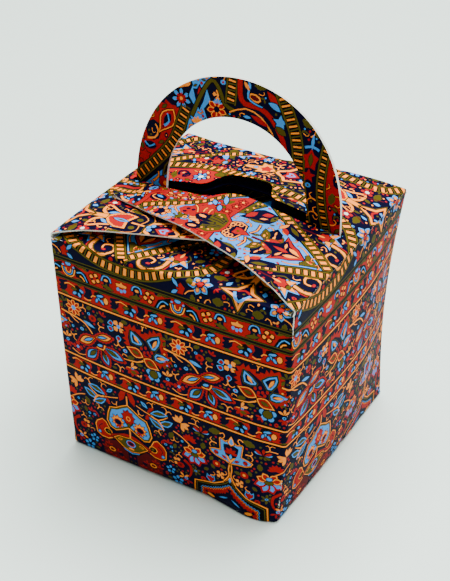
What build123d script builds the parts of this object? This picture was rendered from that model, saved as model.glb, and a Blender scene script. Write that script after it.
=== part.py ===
"""Favour box with a carry handle, folded from one printed card blank.

Millimetres, +Z up. The origin is the centre of the box's underside. The front wall faces -Y,
the right wall +X, the rear wall +Y and the left wall -X.

The blank is one sheet: four walls, a glue tab, bottom flaps and four top flaps. The front and
rear top flaps reach to the middle, where each turns up into a half-ring handle. The left flap
lies over them and the right flap lies over all, both with a slot that the handles pass
through. The right flap opens first, so it is a piece of its own, hinged at its fold.
"""

import os
from math import atan2, degrees, hypot

from build123d import *

# Card
card = 0.5
fold_radius = 0.9
layer_step = 0.7
hinge_clearance = 0.1

# Walls
base_width = 84.4
top_width = 90.0
wall_height = 89.2

# Bottom flaps
bottom_inset = 1.0
rear_bottom_depth = 60.0
dust_flap_depth = 34.0
dust_flap_corner = 12.0

# Glue tab inside the left wall, at the rear corner
tab_width = 12.0
tab_end_gap = 4.0
tab_end_slope = 5.0

# Front and rear flaps with the handles
handle_flap_inset = 1.5
handle_flap_taper = 1.5
handle_side_margin = 5.7
handle_leg_height = 10.5
handle_leg_width = 12.3
handle_crown_width = 14.0
handle_gap = 0.2

# Left and right flaps, measured from their folds
slot_flap_tip_gap = 1.5
slot_flap_root_gap = 0.6
slot_flap_tip = 15.5
slot_flap_fullness = 1.2
slot_flap_tip_radius = 6.0
left_crown = 4.4
left_tip_rise = 1.0
right_crown = 7.6
right_tip_rise = 3.6

# Slots, with the opening for a finger behind the handles
slot_clearance = 0.5
slot_end_margin = 0.8
finger_throat_width = 26.0
finger_crown_width = 17.0
finger_depth = 11.0
finger_radius = 4.0

# Worked out from the sizes above
half_top = top_width / 2
half_base = base_width / 2
wall_spread = (half_top - half_base) / wall_height
wall_lean = degrees(atan2(half_top - half_base, wall_height))
left_fold = wall_height + layer_step
right_fold = left_fold + layer_step
hinge_height = right_fold - card - hinge_clearance / 2
handle_reach = half_top - handle_side_margin
outer_centre = wall_height + handle_leg_height
handle_top = outer_centre + handle_reach
inner_reach = handle_reach - handle_leg_width
inner_centre = handle_top - handle_crown_width - inner_reach
handle_face = handle_gap / 2 + card
slot_flap_reach = top_width - slot_flap_tip_gap
slot_flap_root = half_top - slot_flap_root_gap
slot_half_width = handle_face + slot_clearance
slot_start = half_top - handle_reach - slot_end_margin
handle_sweep = hypot(half_top, outer_centre - hinge_height) + handle_reach
slot_end = handle_sweep + slot_end_margin
slot_middle = half_top
sky = handle_top + card

left_plan = Plane(origin=(-half_top, 0, 0), x_dir=(1, 0, 0), z_dir=(0, 0, 1))
right_plan = Plane(origin=(half_top, 0, sky), x_dir=(-1, 0, 0), z_dir=(0, 0, -1))


def tapered_block(inset, start, end):
    """The walls' outline drawn in by inset, from height start to height end."""
    side = 2 * (half_base + wall_spread * start - inset)
    with BuildPart() as block:
        with BuildSketch(Plane.XY.offset(start)):
            RectangleRounded(side, side, max(fold_radius - inset, card / 4))
        extrude(amount=end - start, taper=-wall_lean)
    return block.part


def flap_outline():
    """A slotted flap seen from above, with its fold along the Y axis and its tip towards +X."""
    middle_width = (slot_flap_root + slot_flap_tip) / 2 + slot_flap_fullness
    with BuildSketch(mode=Mode.PRIVATE) as outline:
        with BuildLine():
            rear = ThreePointArc(
                (0, slot_flap_root),
                (slot_flap_reach / 2, middle_width),
                (slot_flap_reach, slot_flap_tip),
            )
            front = ThreePointArc(
                (0, -slot_flap_root),
                (slot_flap_reach / 2, -middle_width),
                (slot_flap_reach, -slot_flap_tip),
            )
            Line(rear @ 0, front @ 0)
            Line(rear @ 1, front @ 1)
        make_face()
        fillet(outline.vertices().group_by(Axis.X)[-1], slot_flap_tip_radius)
    return outline.sketch


def slot_outline():
    """A slit as long as the handles need, widened behind them for a finger."""
    crown = finger_crown_width / 2
    throat = finger_throat_width / 2
    with BuildSketch(mode=Mode.PRIVATE) as outline:
        with BuildLine():
            Polyline(
                (slot_start, -slot_half_width),
                (slot_end, -slot_half_width),
                (slot_end, slot_half_width),
                (slot_middle + throat, slot_half_width),
                (slot_middle + crown, finger_depth),
                (slot_middle - crown, finger_depth),
                (slot_middle - throat, slot_half_width),
                (slot_start, slot_half_width),
                close=True,
            )
        make_face()
        bends = outline.vertices().filter_by_position(
            Axis.X, slot_middle - throat, slot_middle + throat
        )
        fillet(bends, finger_radius)
    return outline.sketch


def bowed_sheet(fold, crown, tip, side):
    """A sheet that springs up from its fold at x = side * half_top and comes down at its tip."""
    with BuildPart() as sheet:
        with BuildSketch(Plane.XZ):
            with BuildLine():
                upper = ThreePointArc(
                    (side * half_top, fold),
                    (side * (half_top - slot_flap_reach / 2), crown),
                    (side * (half_top - slot_flap_reach), tip),
                )
                lower = ThreePointArc(
                    (side * half_top, fold - card),
                    (side * (half_top - slot_flap_reach / 2), crown - card),
                    (side * (half_top - slot_flap_reach), tip - card),
                )
                Line(upper @ 0, lower @ 0)
                Line(upper @ 1, lower @ 1)
            make_face()
        extrude(amount=half_top, both=True)
    return sheet.part


def handle_outline():
    """The half ring with its straight legs, from the fold up."""
    with BuildSketch(mode=Mode.PRIVATE) as outline:
        with BuildLine():
            foot = wall_height - card
            Line((handle_reach, foot), (handle_reach, outer_centre))
            ThreePointArc(
                (handle_reach, outer_centre), (0, handle_top), (-handle_reach, outer_centre)
            )
            Line((-handle_reach, outer_centre), (-handle_reach, foot))
            Line((-handle_reach, foot), (-inner_reach, foot))
            Line((-inner_reach, foot), (-inner_reach, inner_centre))
            ThreePointArc(
                (-inner_reach, inner_centre),
                (0, inner_centre + inner_reach),
                (inner_reach, inner_centre),
            )
            Line((inner_reach, inner_centre), (inner_reach, foot))
            Line((inner_reach, foot), (handle_reach, foot))
        make_face()
    return outline.sketch


def handle_flap_outline():
    """The front flap seen from above: its fold at the wall, its free sides drawn in."""
    fold_half = half_top - handle_flap_inset
    free_half = fold_half - handle_flap_taper
    with BuildSketch(mode=Mode.PRIVATE) as outline:
        with BuildLine():
            Polyline(
                (-fold_half, -half_top),
                (fold_half, -half_top),
                (free_half, -handle_gap / 2),
                (-free_half, -handle_gap / 2),
                close=True,
            )
        make_face()
    return outline.sketch


# The walls, open at top and bottom
rim = right_fold - card - hinge_clearance
outer_walls = tapered_block(0, card, rim)
inner_walls = tapered_block(card, card, rim)
tab_skin = tapered_block(2 * card, card, rim)

with BuildPart() as glue_tab:
    with BuildSketch(Plane.YZ.offset(-half_top)):
        with BuildLine():
            tab_edge = half_base - card - tab_width
            Polyline(
                (half_top, tab_end_gap),
                (tab_edge, tab_end_gap + tab_end_slope),
                (tab_edge, wall_height - tab_end_gap - tab_end_slope),
                (half_top, wall_height - tab_end_gap),
                close=True,
            )
        make_face()
    extrude(amount=half_top - half_base + 2 * card)
    add(inner_walls, mode=Mode.INTERSECT)
    add(tab_skin, mode=Mode.SUBTRACT)

with BuildPart() as left_flap:
    add(bowed_sheet(left_fold, wall_height + left_crown, wall_height + left_tip_rise, -1))
    with BuildSketch(left_plan):
        add(flap_outline())
        add(slot_outline(), mode=Mode.SUBTRACT)
    extrude(amount=sky, mode=Mode.INTERSECT)

with BuildPart() as carton:
    add(outer_walls)
    add(inner_walls, mode=Mode.SUBTRACT)

    # The front and rear walls end under their flaps, and the left wall under its own
    with BuildSketch(Plane.XY.offset(wall_height - card / 2)):
        Rectangle(top_width - 2 * card, 2 * top_width)
    extrude(amount=layer_step * 4, mode=Mode.SUBTRACT)
    with BuildSketch(Plane.XY.offset(left_fold - card / 2)):
        with Locations((-half_top, 0)):
            Rectangle(2 * card, 2 * top_width)
    extrude(amount=layer_step * 4, mode=Mode.SUBTRACT)

    # The bottom, from the underside up: front flap, rear flap and the two dust flaps
    with BuildSketch(Plane.XY):
        with Locations((0, -bottom_inset / 2)):
            Rectangle(base_width - 2 * bottom_inset, base_width - bottom_inset)
    extrude(amount=card)
    with BuildSketch(Plane.XY.offset(card)):
        with Locations((0, half_base - card / 2 - rear_bottom_depth / 2)):
            Rectangle(base_width - card, rear_bottom_depth)
    extrude(amount=card)
    with BuildSketch(Plane.XY.offset(2 * card)):
        for side in (-1, 1):
            wall = side * (half_base - card / 2)
            edge = wall - side * dust_flap_depth
            corner = half_base - card / 2
            with BuildLine():
                Polyline(
                    (wall, -corner),
                    (edge, -corner + dust_flap_corner),
                    (edge, corner - dust_flap_corner),
                    (wall, corner),
                    close=True,
                )
            make_face()
    extrude(amount=card)

    add(glue_tab.part)

    # The front flap and its handle, and the same behind
    with BuildSketch(Plane.XY.offset(wall_height - card)) as lids:
        add(handle_flap_outline())
        mirror(about=Plane.XZ)
    extrude(amount=card)
    for face in (handle_gap / 2, -handle_face):
        with BuildSketch(Plane.XZ.offset(face)):
            add(handle_outline())
        extrude(amount=card)

    add(left_flap.part)

with BuildPart() as closing_flap:
    add(bowed_sheet(right_fold, wall_height + right_crown, wall_height + right_tip_rise, 1))
    with BuildSketch(right_plan):
        add(flap_outline())
        add(slot_outline(), mode=Mode.SUBTRACT)
    extrude(amount=sky, mode=Mode.INTERSECT)

carton.part.label = "carton"
closing_flap.part.label = "closing_flap"

os.makedirs("parts", exist_ok=True)
export_step(carton.part, "parts/carton.step")
export_step(closing_flap.part, "parts/closing_flap.step")
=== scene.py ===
"""A favour box folded from printed card: its print, its card and its folds.

The card is drawn flat, as the blank that it was cut from, in millimetres. u runs along the four
walls, 90 mm a wall: left -90 to 0, front 0 to 90, right 90 to 180, rear 180 to 270. v is 0 at
the top folds, falls down the walls and grows along the top flaps. The motifs cut this flat
sheet into facets of one ink each, and the sheet is then folded up to the shape of the CAD part.
"""

from math import asin, atan2, cos, degrees, exp, floor, hypot, log, pi, radians, sin, sqrt

import bpy
import numpy as np
from mathutils import Matrix, Vector
from mathutils.geometry import delaunay_2d_cdt


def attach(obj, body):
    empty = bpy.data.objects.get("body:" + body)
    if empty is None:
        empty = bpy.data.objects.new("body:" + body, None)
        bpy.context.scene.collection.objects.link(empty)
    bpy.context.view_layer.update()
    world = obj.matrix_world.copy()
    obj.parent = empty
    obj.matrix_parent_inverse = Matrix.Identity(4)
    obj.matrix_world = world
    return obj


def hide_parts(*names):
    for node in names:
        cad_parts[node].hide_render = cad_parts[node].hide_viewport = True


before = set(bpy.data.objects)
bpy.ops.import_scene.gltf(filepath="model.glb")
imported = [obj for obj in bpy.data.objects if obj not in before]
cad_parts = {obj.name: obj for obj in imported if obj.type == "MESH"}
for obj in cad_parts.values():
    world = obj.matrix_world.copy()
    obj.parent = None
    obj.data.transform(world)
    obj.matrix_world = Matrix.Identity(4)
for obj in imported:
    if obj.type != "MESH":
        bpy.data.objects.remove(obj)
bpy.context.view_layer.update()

MM = 0.001

# Sizes of the folded box, as in the CAD part but for the slotted flaps' edges and the hidden bottom flaps
CARD = 0.5
TOP_WIDTH = 90.0
BASE_WIDTH = 84.4
WALL_HEIGHT = 89.2
LAYER_STEP = 0.7
HANDLE_GAP = 0.2
HANDLE_REACH = 39.3
HANDLE_LEG_HEIGHT = 10.5
HANDLE_LEG_WIDTH = 12.3
HANDLE_CROWN_WIDTH = 14.0
HANDLE_FLAP_INSET = 1.5
HANDLE_FLAP_TAPER = 1.5
FLAP_REACH = 88.5
FLAP_ROOT = 44.4
FLAP_TIP = 15.5
FLAP_FULLNESS = 0.1
FLAP_TIP_RADIUS = 14.0
LEFT_CROWN = 4.4
LEFT_TIP_RISE = 1.0
RIGHT_CROWN = 7.6
RIGHT_TIP_RISE = 3.6
SLOT_CLEARANCE = 0.5
SLOT_END_MARGIN = 0.8
FINGER_THROAT_WIDTH = 26.0
FINGER_CROWN_WIDTH = 17.0
FINGER_DEPTH = 11.0
FINGER_RADIUS = 4.0
BOTTOM_INSET = 1.0
REAR_BOTTOM_DEPTH = 60.0
REAR_INSET = 3.0
SIDE_FOOT_DEPTH = 3.0

HALF_TOP = TOP_WIDTH / 2
HALF_BASE = BASE_WIDTH / 2
CORNER_RADIUS = 0.9
FOLD_RADIUS = 0.6
FOOT_RADIUS = 0.5
LID_GAP = 0.05
HANDLE_FOLD_RADIUS = 0.5

LEFT_FOLD = WALL_HEIGHT + LAYER_STEP
RIGHT_FOLD = LEFT_FOLD + LAYER_STEP
HINGE_HEIGHT = RIGHT_FOLD - CARD
HANDLE_FACE = HANDLE_GAP / 2 + CARD
SLOT_HALF = HANDLE_FACE + SLOT_CLEARANCE
SLOT_START = HALF_TOP - HANDLE_REACH - SLOT_END_MARGIN
SLOT_END = hypot(HALF_TOP, WALL_HEIGHT + HANDLE_LEG_HEIGHT - HINGE_HEIGHT) + HANDLE_REACH + SLOT_END_MARGIN

FRONT, RIGHT, REAR, LEFT = 0, 1, 2, -1
WALL_TOP = WALL_HEIGHT - FOLD_RADIUS


# Paths of the folds, seen from the side

class Profile:
    """A path of straight and round stretches, in (p, z): p is the distance from the box's middle."""

    def __init__(self, p, z, heading):
        self.stretches = []
        self.length = 0.0
        self.p, self.z, self.heading = p, z, radians(heading)

    def go(self, length, turn=0.0):
        """Adds a stretch that turns by turn degrees, to the right where it is positive."""
        self.stretches.append((self.length, length, self.p, self.z, self.heading, radians(turn)))
        self.length += length
        self.p, self.z, self.heading = self.end_of(self.stretches[-1], length)
        return self

    @staticmethod
    def end_of(stretch, t):
        _, length, p, z, heading, turn = stretch
        bend = turn * t / length
        half = bend / 2
        chord = t if abs(half) < 1e-9 else t * sin(half) / half
        return p - chord * cos(heading - half), z + chord * sin(heading - half), heading - bend

    def at(self, v):
        chosen = self.stretches[0]
        for stretch in self.stretches:
            if v >= stretch[0]:
                chosen = stretch
        p, z, _ = self.end_of(chosen, v - chosen[0])
        return p, z


def circle_through(fold, crown, tip):
    """The arc of a slotted flap over its fold, middle and tip: centre s, centre z and radius."""
    middle, end = FLAP_REACH / 2, FLAP_REACH
    a, b = crown - fold, tip - fold
    z = (end * (middle**2 + a**2) - middle * (end**2 + b**2)) / (2 * (end * a - middle * b))
    s = (middle**2 + a**2 - 2 * a * z) / (2 * middle)
    return s, z + fold, hypot(s, z)


class Bow(Profile):
    """The path of a slotted flap: up the wall, round the fold and along its bow."""

    def __init__(self, p, z, fold, crown, tip):
        super().__init__(p, z, 90)
        self.centre_s, centre_z, self.radius = circle_through(fold, crown, tip)
        slope = asin(self.centre_s / self.radius)
        joint = FOLD_RADIUS * (1 - sin(slope))
        height = centre_z + sqrt(self.radius**2 - (joint - self.centre_s) ** 2)
        self.first = degrees(asin((joint - self.centre_s) / self.radius))
        self.go(max(height - FOLD_RADIUS * cos(slope) - z, 0.01))
        self.go(FOLD_RADIUS * radians(90 + self.first), 90 + self.first)
        self.sprung = self.length
        self.go(self.radius * radians(60), 60)

    def along(self, s):
        """The distance along the card of a place that lies s from the fold, seen from above."""
        angle = degrees(asin((s - self.centre_s) / self.radius))
        return self.sprung + self.radius * radians(angle - self.first)


def half_width(z):
    """Half the box's width at a height: the walls taper towards the base."""
    return HALF_BASE + (HALF_TOP - HALF_BASE) * z / WALL_HEIGHT


def handle_profile():
    """Over the fold, flat to the middle, and up into the handle."""
    path = Profile(half_width(WALL_TOP), WALL_TOP, 90)
    path.go(FOLD_RADIUS * pi / 2, 90)
    path.go(path.p - HANDLE_FACE - HANDLE_FOLD_RADIUS)
    path.flat_end = path.length
    path.go(HANDLE_FOLD_RADIUS * pi / 2, -90)
    path.ring_centre = path.length + WALL_HEIGHT + HANDLE_LEG_HEIGHT - path.z
    return path.go(TOP_WIDTH)


def bottom_profile(height):
    """Under the box from a wall's foot; walked towards the middle."""
    path = Profile(half_width(height + FOOT_RADIUS), height + FOOT_RADIUS, -90)
    path.go(FOOT_RADIUS * pi / 2, -90)
    return path.go(TOP_WIDTH)


INNER_FOOT = CARD + LID_GAP
handle_path = handle_profile()
left_path = Bow(half_width(WALL_TOP), WALL_TOP, LEFT_FOLD, WALL_HEIGHT + LEFT_CROWN,
                WALL_HEIGHT + LEFT_TIP_RISE)
lid_path = Bow(HALF_TOP, HINGE_HEIGHT, RIGHT_FOLD, WALL_HEIGHT + RIGHT_CROWN, WALL_HEIGHT + RIGHT_TIP_RISE)
TOP_PATHS = {FRONT: handle_path, REAR: handle_path, LEFT: left_path}
foot_heights = {FRONT: 0.0, RIGHT: INNER_FOOT, REAR: INNER_FOOT, LEFT: INNER_FOOT}
FOOT_PATHS = {side: bottom_profile(height) for side, height in foot_heights.items()}
FOOT_V = {side: height + FOOT_RADIUS - WALL_TOP for side, height in foot_heights.items()}
RIGHT_RIM_V = HINGE_HEIGHT - LID_GAP - WALL_TOP


def turned(side, x, p):
    """From a wall's own frame to the box's: the front wall's x runs along +X."""
    return {FRONT: (x, -p), RIGHT: (p, x), REAR: (-x, p), LEFT: (-p, -x)}[side]


def peak(distance, reach):
    return max(1 - abs(distance) / reach, 0.0)


def hump(distance, width):
    """1 in the middle, falling off smoothly on both sides."""
    return exp(-((distance / width) ** 2))


def clamped(part):
    return min(max(part, 0), 1)


# How far the card has left its flat walls and straight folds, and over what width
WALL_BULGE = {FRONT: 2.6, RIGHT: 3.0, REAR: 0.9, LEFT: 0.9}
PRESSED_EDGE, PRESSED_WIDTH = 2.4, 22
SPRUNG_EDGE, SPRUNG_WIDTH = 0.9, 20
BASE_SPREAD = 2.8
FRONT_BASE_BULGE, FRONT_BULGE_U, FRONT_BULGE_WIDTH, FRONT_BULGE_END = 2.8, 79, 12, 5
FOOT_BULGE_DEPTH = 12
LEFT_FOLD_BULGE, LEFT_FOLD_DEPTH = 1.3, 16


def swell(side, x, z):
    """How far the middle of a wall stands out from flat, more in its lower half."""
    up = clamped(z / WALL_HEIGHT)
    return WALL_BULGE[side] * (1 - (x / HALF_TOP) ** 2) * max(sin(pi * up**0.85), 0) ** 0.7


def dent(u, z):
    """How far the card has sprung in or out of true: the rear right edge is pressed in."""
    height = sin(pi * clamped(z / WALL_HEIGHT))
    pressed = PRESSED_EDGE * hump(u - 2 * TOP_WIDTH, PRESSED_WIDTH) * height
    sprung = SPRUNG_EDGE * hump(u - TOP_WIDTH, SPRUNG_WIDTH) * height
    return pressed - sprung


def base_shift(u, z):
    """How far the base has spread: its rear right corner to the right, its front edge forwards."""
    up = clamped(z / WALL_HEIGHT)
    right = BASE_SPREAD * peak(u - 2 * TOP_WIDTH, TOP_WIDTH) * (1 - up)
    forwards = FRONT_BASE_BULGE * hump(u - FRONT_BULGE_U, FRONT_BULGE_WIDTH) * exp(-up * 4)
    return right, -forwards * clamped((TOP_WIDTH - u) / FRONT_BULGE_END)


def fold_bulge(beside, away):
    """How far the left wall's top fold has bowed out, and what lies near it."""
    return LEFT_FOLD_BULGE * (1 - (beside / HALF_TOP) ** 2) * exp(-away / LEFT_FOLD_DEPTH)


# How far the slotted flaps stand off their even bow, by distance from the fold
LID_LIFT_FRONT = ((0, 0), (6, 0.9), (17, -0.5), (27, -0.2), (34, 0.6), (41, 1.2), (47, 0.2), (53, -2.4),
                  (58, -3.7), (71, -3.6), (85, -1.8), (90, -1.6))
LID_LIFT_REAR = ((0, 0), (6, 0.9), (19, 2.0), (31, 2.3), (45, 1.4), (57, -0.2), (72, -1.5), (85, -1.8),
                 (90, -1.6))
LEFT_LIFT_FRONT = ((0, 0), (8, -0.6), (19, -1.2), (32, -1.3), (45, -0.7), (60, 0), (90, 0))
LEFT_LIFT_REAR = ((0, 0), (90, 0))
LID_EDGE_LIFT = ((0, 0), (3, 0), (9, 1.3), (20, 1.8), (35, 0.9), (50, 0.4), (64, -1.0), (76, -0.9), (90, 0))
LEFT_EDGE_LIFT = ((0, 0.5), (4, 0.9), (11, 1.1), (26, 0.5), (41, 0.7), (52, 1.2), (64, 0.6), (90, 0))
LEFT_PILLOW = ((0, 0), (3, 1.1), (9, 1.6), (22, 0.9), (40, 0), (90, 0))
PILLOW_NEAR, PILLOW_FAR = -6.0, -45.0


def along(table, s):
    """A height from a table of distances from the fold and heights."""
    marks, heights = zip(*table)
    return float(np.interp(s, marks, heights))


def lift(s, y, front, rear, edge):
    """How far a slotted flap stands off its bow: beside the slot, and at its free front edge."""
    half = FLAP_ROOT + (FLAP_TIP - FLAP_ROOT) * s / FLAP_REACH
    out = min(abs(y) / half, 1)
    if y < 0:
        return along(front, s) * (1 - out) ** 1.4 + along(edge, s) * out**2
    return along(rear, s) * (1 - 0.85 * out**2)


def pillow(s, y):
    """The left flap also stands up a little between its front corner and the tip that lies over it."""
    part = clamped((y - PILLOW_NEAR) / (PILLOW_FAR - PILLOW_NEAR))
    return along(LEFT_PILLOW, s) * sin(pi * part)


def wall_place(side, u, v):
    """A place on a wall: rounded at the corners, and out of true as the photo shows it."""
    z = WALL_TOP + v
    width = half_width(min(z, WALL_HEIGHT)) - dent(u, z)
    x = (u - TOP_WIDTH * side - HALF_TOP) * width / HALF_TOP
    over = abs(x) - (width - CORNER_RADIUS)
    p = width
    if over > 0:
        bend = radians(45) * min(over / CORNER_RADIUS, 1)
        x = (width - CORNER_RADIUS + CORNER_RADIUS * sin(bend)) * (1 if x > 0 else -1)
        p = width - CORNER_RADIUS * (1 - cos(bend))
    right, forwards = base_shift(u, z)
    if side == LEFT:
        p += fold_bulge(x, WALL_HEIGHT - z)
    x, y = turned(side, x, p + swell(side, x, z))
    return x + right, y + forwards, z


HANDLE_LEAN = 1.6
HANDLE_PINCH = 0.03
HANDLE_FOOT = 94.0


def leant(side, x, z):
    """The handles lean a little to the right, and are pinched at the middle of their height."""
    up = max((z - HANDLE_FOOT) / (WALL_HEIGHT + HANDLE_LEG_HEIGHT + HANDLE_REACH - HANDLE_FOOT), 0)
    lean = HANDLE_LEAN * up * (1 if side == FRONT else -1)
    return x * (1 - HANDLE_PINCH * sin(pi * min(up, 1))) + lean


def carton_place(u, v):
    """Where a place on the blank lies on the folded box."""
    side = min(max(floor(u / TOP_WIDTH), LEFT), REAR)
    x = u - TOP_WIDTH * side - HALF_TOP
    if v > 0 and side in TOP_PATHS:
        p, z = TOP_PATHS[side].at(v)
        if side == LEFT:
            s = HALF_TOP - p
            z += lift(s, -x, LEFT_LIFT_FRONT, LEFT_LIFT_REAR, LEFT_EDGE_LIFT) + pillow(s, -x)
            return (*turned(side, x, p + fold_bulge(x, s)), z)
        return (*turned(side, leant(side, x, z), p), z)
    if v < FOOT_V[side]:
        p, z = FOOT_PATHS[side].at(FOOT_V[side] - v)
        right, forwards = base_shift(u, 0)
        x, y = turned(side, x * HALF_BASE / HALF_TOP, p)
        return x + right, y + forwards * exp(-(FOOT_V[side] - v) / FOOT_BULGE_DEPTH), z
    return wall_place(side, u, v)


def lid_place(u, v):
    """Where a place on the blank lies on the closing flap, shut."""
    p, z = lid_path.at(v)
    y = u - TOP_WIDTH * RIGHT - HALF_TOP
    return (*turned(RIGHT, y, p), z + lift(HALF_TOP - p, y, LID_LIFT_FRONT, LID_LIFT_REAR, LID_EDGE_LIFT))


# Outlines on the blank

def arc_between(start, middle, end, steps):
    """Places on the arc through three points, both ends included."""
    (ax, ay), (bx, by), (cx, cy) = start, middle, end
    d = 2 * (ax * (by - cy) + bx * (cy - ay) + cx * (ay - by))
    a2, b2, c2 = ax * ax + ay * ay, bx * bx + by * by, cx * cx + cy * cy
    x = (a2 * (by - cy) + b2 * (cy - ay) + c2 * (ay - by)) / d
    y = (a2 * (cx - bx) + b2 * (ax - cx) + c2 * (bx - ax)) / d
    first, last = atan2(ay - y, ax - x), atan2(cy - y, cx - x)
    via = atan2(by - y, bx - x)
    sweep = (last - first) % (2 * pi)
    if (via - first) % (2 * pi) > sweep:
        sweep -= 2 * pi
    radius = hypot(ax - x, ay - y)
    return [
        (x + radius * cos(first + sweep * i / steps), y + radius * sin(first + sweep * i / steps))
        for i in range(steps + 1)
    ]


def rounded(points, radii, steps=5):
    """A polygon with its corners rounded, each by its own radius."""
    out = []
    count = len(points)
    for i, (x, y) in enumerate(points):
        if not radii[i]:
            out.append((x, y))
            continue
        corner = Vector((x, y))
        back = (Vector(points[i - 1]) - corner).normalized()
        on = (Vector(points[(i + 1) % count]) - corner).normalized()
        half = back.angle(on) / 2
        centre = corner + (back + on).normalized() * (radii[i] / sin(half))
        near, far = (corner + way * (radii[i] * cos(half) / sin(half)) for way in (back, on))
        middle = centre + (corner - centre).normalized() * radii[i]
        out += arc_between(tuple(near), tuple(middle), tuple(far), steps)
    return out


def area_of(points):
    return sum(a[0] * b[1] - b[0] * a[1] for a, b in zip(points, points[1:] + points[:1])) / 2


def slot_flap_outline(side, path):
    """A slotted flap on the blank, from its fold to its tip."""
    middle_width = (FLAP_ROOT + FLAP_TIP) / 2 + FLAP_FULLNESS
    edge = arc_between((0, FLAP_ROOT), (FLAP_REACH / 2, middle_width), (FLAP_REACH, FLAP_TIP), 18)
    outline = edge + [(s, -y) for s, y in reversed(edge)]
    radii = [0] * len(outline)
    radii[len(edge) - 1] = radii[len(edge)] = FLAP_TIP_RADIUS
    shaped = [(path.along(s), y) for s, y in rounded(outline, radii)]
    shaped = [(0.0, FLAP_ROOT)] + shaped[:-1] + [(shaped[-1][0], -FLAP_ROOT), (0.0, -FLAP_ROOT)]
    return on_side(side, shaped)


def slot_outline(side, path):
    crown, throat, middle = FINGER_CROWN_WIDTH / 2, FINGER_THROAT_WIDTH / 2, HALF_TOP
    corners = [
        (SLOT_START, -SLOT_HALF),
        (SLOT_END, -SLOT_HALF),
        (SLOT_END, SLOT_HALF),
        (middle + throat, SLOT_HALF),
        (middle + crown, FINGER_DEPTH),
        (middle - crown, FINGER_DEPTH),
        (middle - throat, SLOT_HALF),
        (SLOT_START, SLOT_HALF),
    ]
    shaped = rounded(corners, [0, 0, 0] + [FINGER_RADIUS] * 4 + [0])
    return on_side(side, [(path.along(s), y) for s, y in shaped])


def on_side(side, places):
    """Places (distance from the fold, y on the box) of the left or right flap, on the blank."""
    sign = 1 if side == RIGHT else -1
    return [(TOP_WIDTH * side + HALF_TOP + sign * y, v) for v, y in places]


def wall_outline(side, top=0.0):
    u = TOP_WIDTH * side
    return [(u, FOOT_V[side]), (u + TOP_WIDTH, FOOT_V[side]), (u + TOP_WIDTH, top), (u, top)]


def handle_flap_outlines(side):
    """The flap as far as the middle, and the half ring on its straight legs."""
    middle = TOP_WIDTH * side + HALF_TOP
    fold, free = HALF_TOP - HANDLE_FLAP_INSET, HALF_TOP - HANDLE_FLAP_INSET - HANDLE_FLAP_TAPER
    end = handle_path.flat_end
    flap = [(middle - fold, 0.0), (middle + fold, 0.0), (middle + free, end), (middle - free, end)]
    outer, inner = HANDLE_REACH, HANDLE_REACH - HANDLE_LEG_WIDTH
    centre = handle_path.ring_centre
    inner_centre = centre + HANDLE_REACH - HANDLE_CROWN_WIDTH - inner
    steps = 56
    ring = [(middle + outer, end)]
    for i in range(steps + 1):
        ring.append((middle + outer * cos(pi * i / steps), centre + outer * sin(pi * i / steps)))
    ring += [(middle - outer, end), (middle - inner, end)]
    for i in range(steps, -1, -1):
        ring.append((middle + inner * cos(pi * i / steps), inner_centre + inner * sin(pi * i / steps)))
    ring.append((middle + inner, end))
    return [flap, ring]


def foot_outline(side, half, depth):
    """A bottom flap: half its width, and how far it reaches from the wall's outer face."""
    middle = TOP_WIDTH * side + HALF_TOP
    half *= HALF_TOP / HALF_BASE
    start = FOOT_V[side]
    end = start - (FOOT_RADIUS * pi / 2 + depth - FOOT_RADIUS)
    return [(middle - half, start), (middle - half, end), (middle + half, end), (middle + half, start)]


# Where the sheet needs facets of its own to bend

NET = 10


def bend_lines():
    """Straight cuts (u, v, u, v) along the corners and folds, and a coarse net on the walls."""
    lines = []
    foot, last = FOOT_V[FRONT], TOP_WIDTH * 3
    for side in (LEFT, FRONT, RIGHT, REAR):
        u = TOP_WIDTH * side
        for step in (-CORNER_RADIUS, -CORNER_RADIUS / 2, 0, CORNER_RADIUS / 2, CORNER_RADIUS):
            lines.append((u + step, foot, u + step, RIGHT_RIM_V))
        for step in range(NET, int(TOP_WIDTH), NET):
            lines.append((u + step, foot, u + step, 0))
    for v in range(NET, int(TOP_WIDTH), NET):
        lines.append((-TOP_WIDTH, -v, last, -v))
    lines.append((-TOP_WIDTH, 0, last, 0))
    return lines


def path_lines(side, marks):
    """Cuts across a side's flap at these lengths along its path."""
    u = TOP_WIDTH * side
    return [(u, v, u + TOP_WIDTH, v) for v in marks]


def round_marks(start, length, steps):
    return [start + length * i / steps for i in range(steps + 1)]


def carton_bends():
    lines = bend_lines()
    fold = FOLD_RADIUS * pi / 2
    rise = handle_path.flat_end
    for side in (FRONT, REAR):
        marks = round_marks(0, fold, 4) + round_marks(rise, HANDLE_FOLD_RADIUS * pi / 2, 4)
        lines += path_lines(side, marks)
    lead = left_path.stretches[1][0]
    marks = round_marks(lead, left_path.sprung - lead, 4)
    marks += [left_path.along(s) for s in range(4, 90, 4)]
    lines += path_lines(LEFT, marks)
    for side in (LEFT, FRONT, RIGHT, REAR):
        marks = [FOOT_V[side] - v for v in round_marks(0, FOOT_RADIUS * pi / 2, 4)]
        lines += path_lines(side, marks)
    return lines


def lid_bends():
    lead = lid_path.stretches[1][0]
    marks = round_marks(lead, lid_path.sprung - lead, 4)
    marks += [lid_path.along(s) for s in range(3, 90, 3)]
    return path_lines(RIGHT, marks)


# From the flat drawing to a closed, folded sheet

CLOSE = 1e-4
SLIVER = 1e-7
CELL = 3.0
SLACK = 0.04


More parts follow.
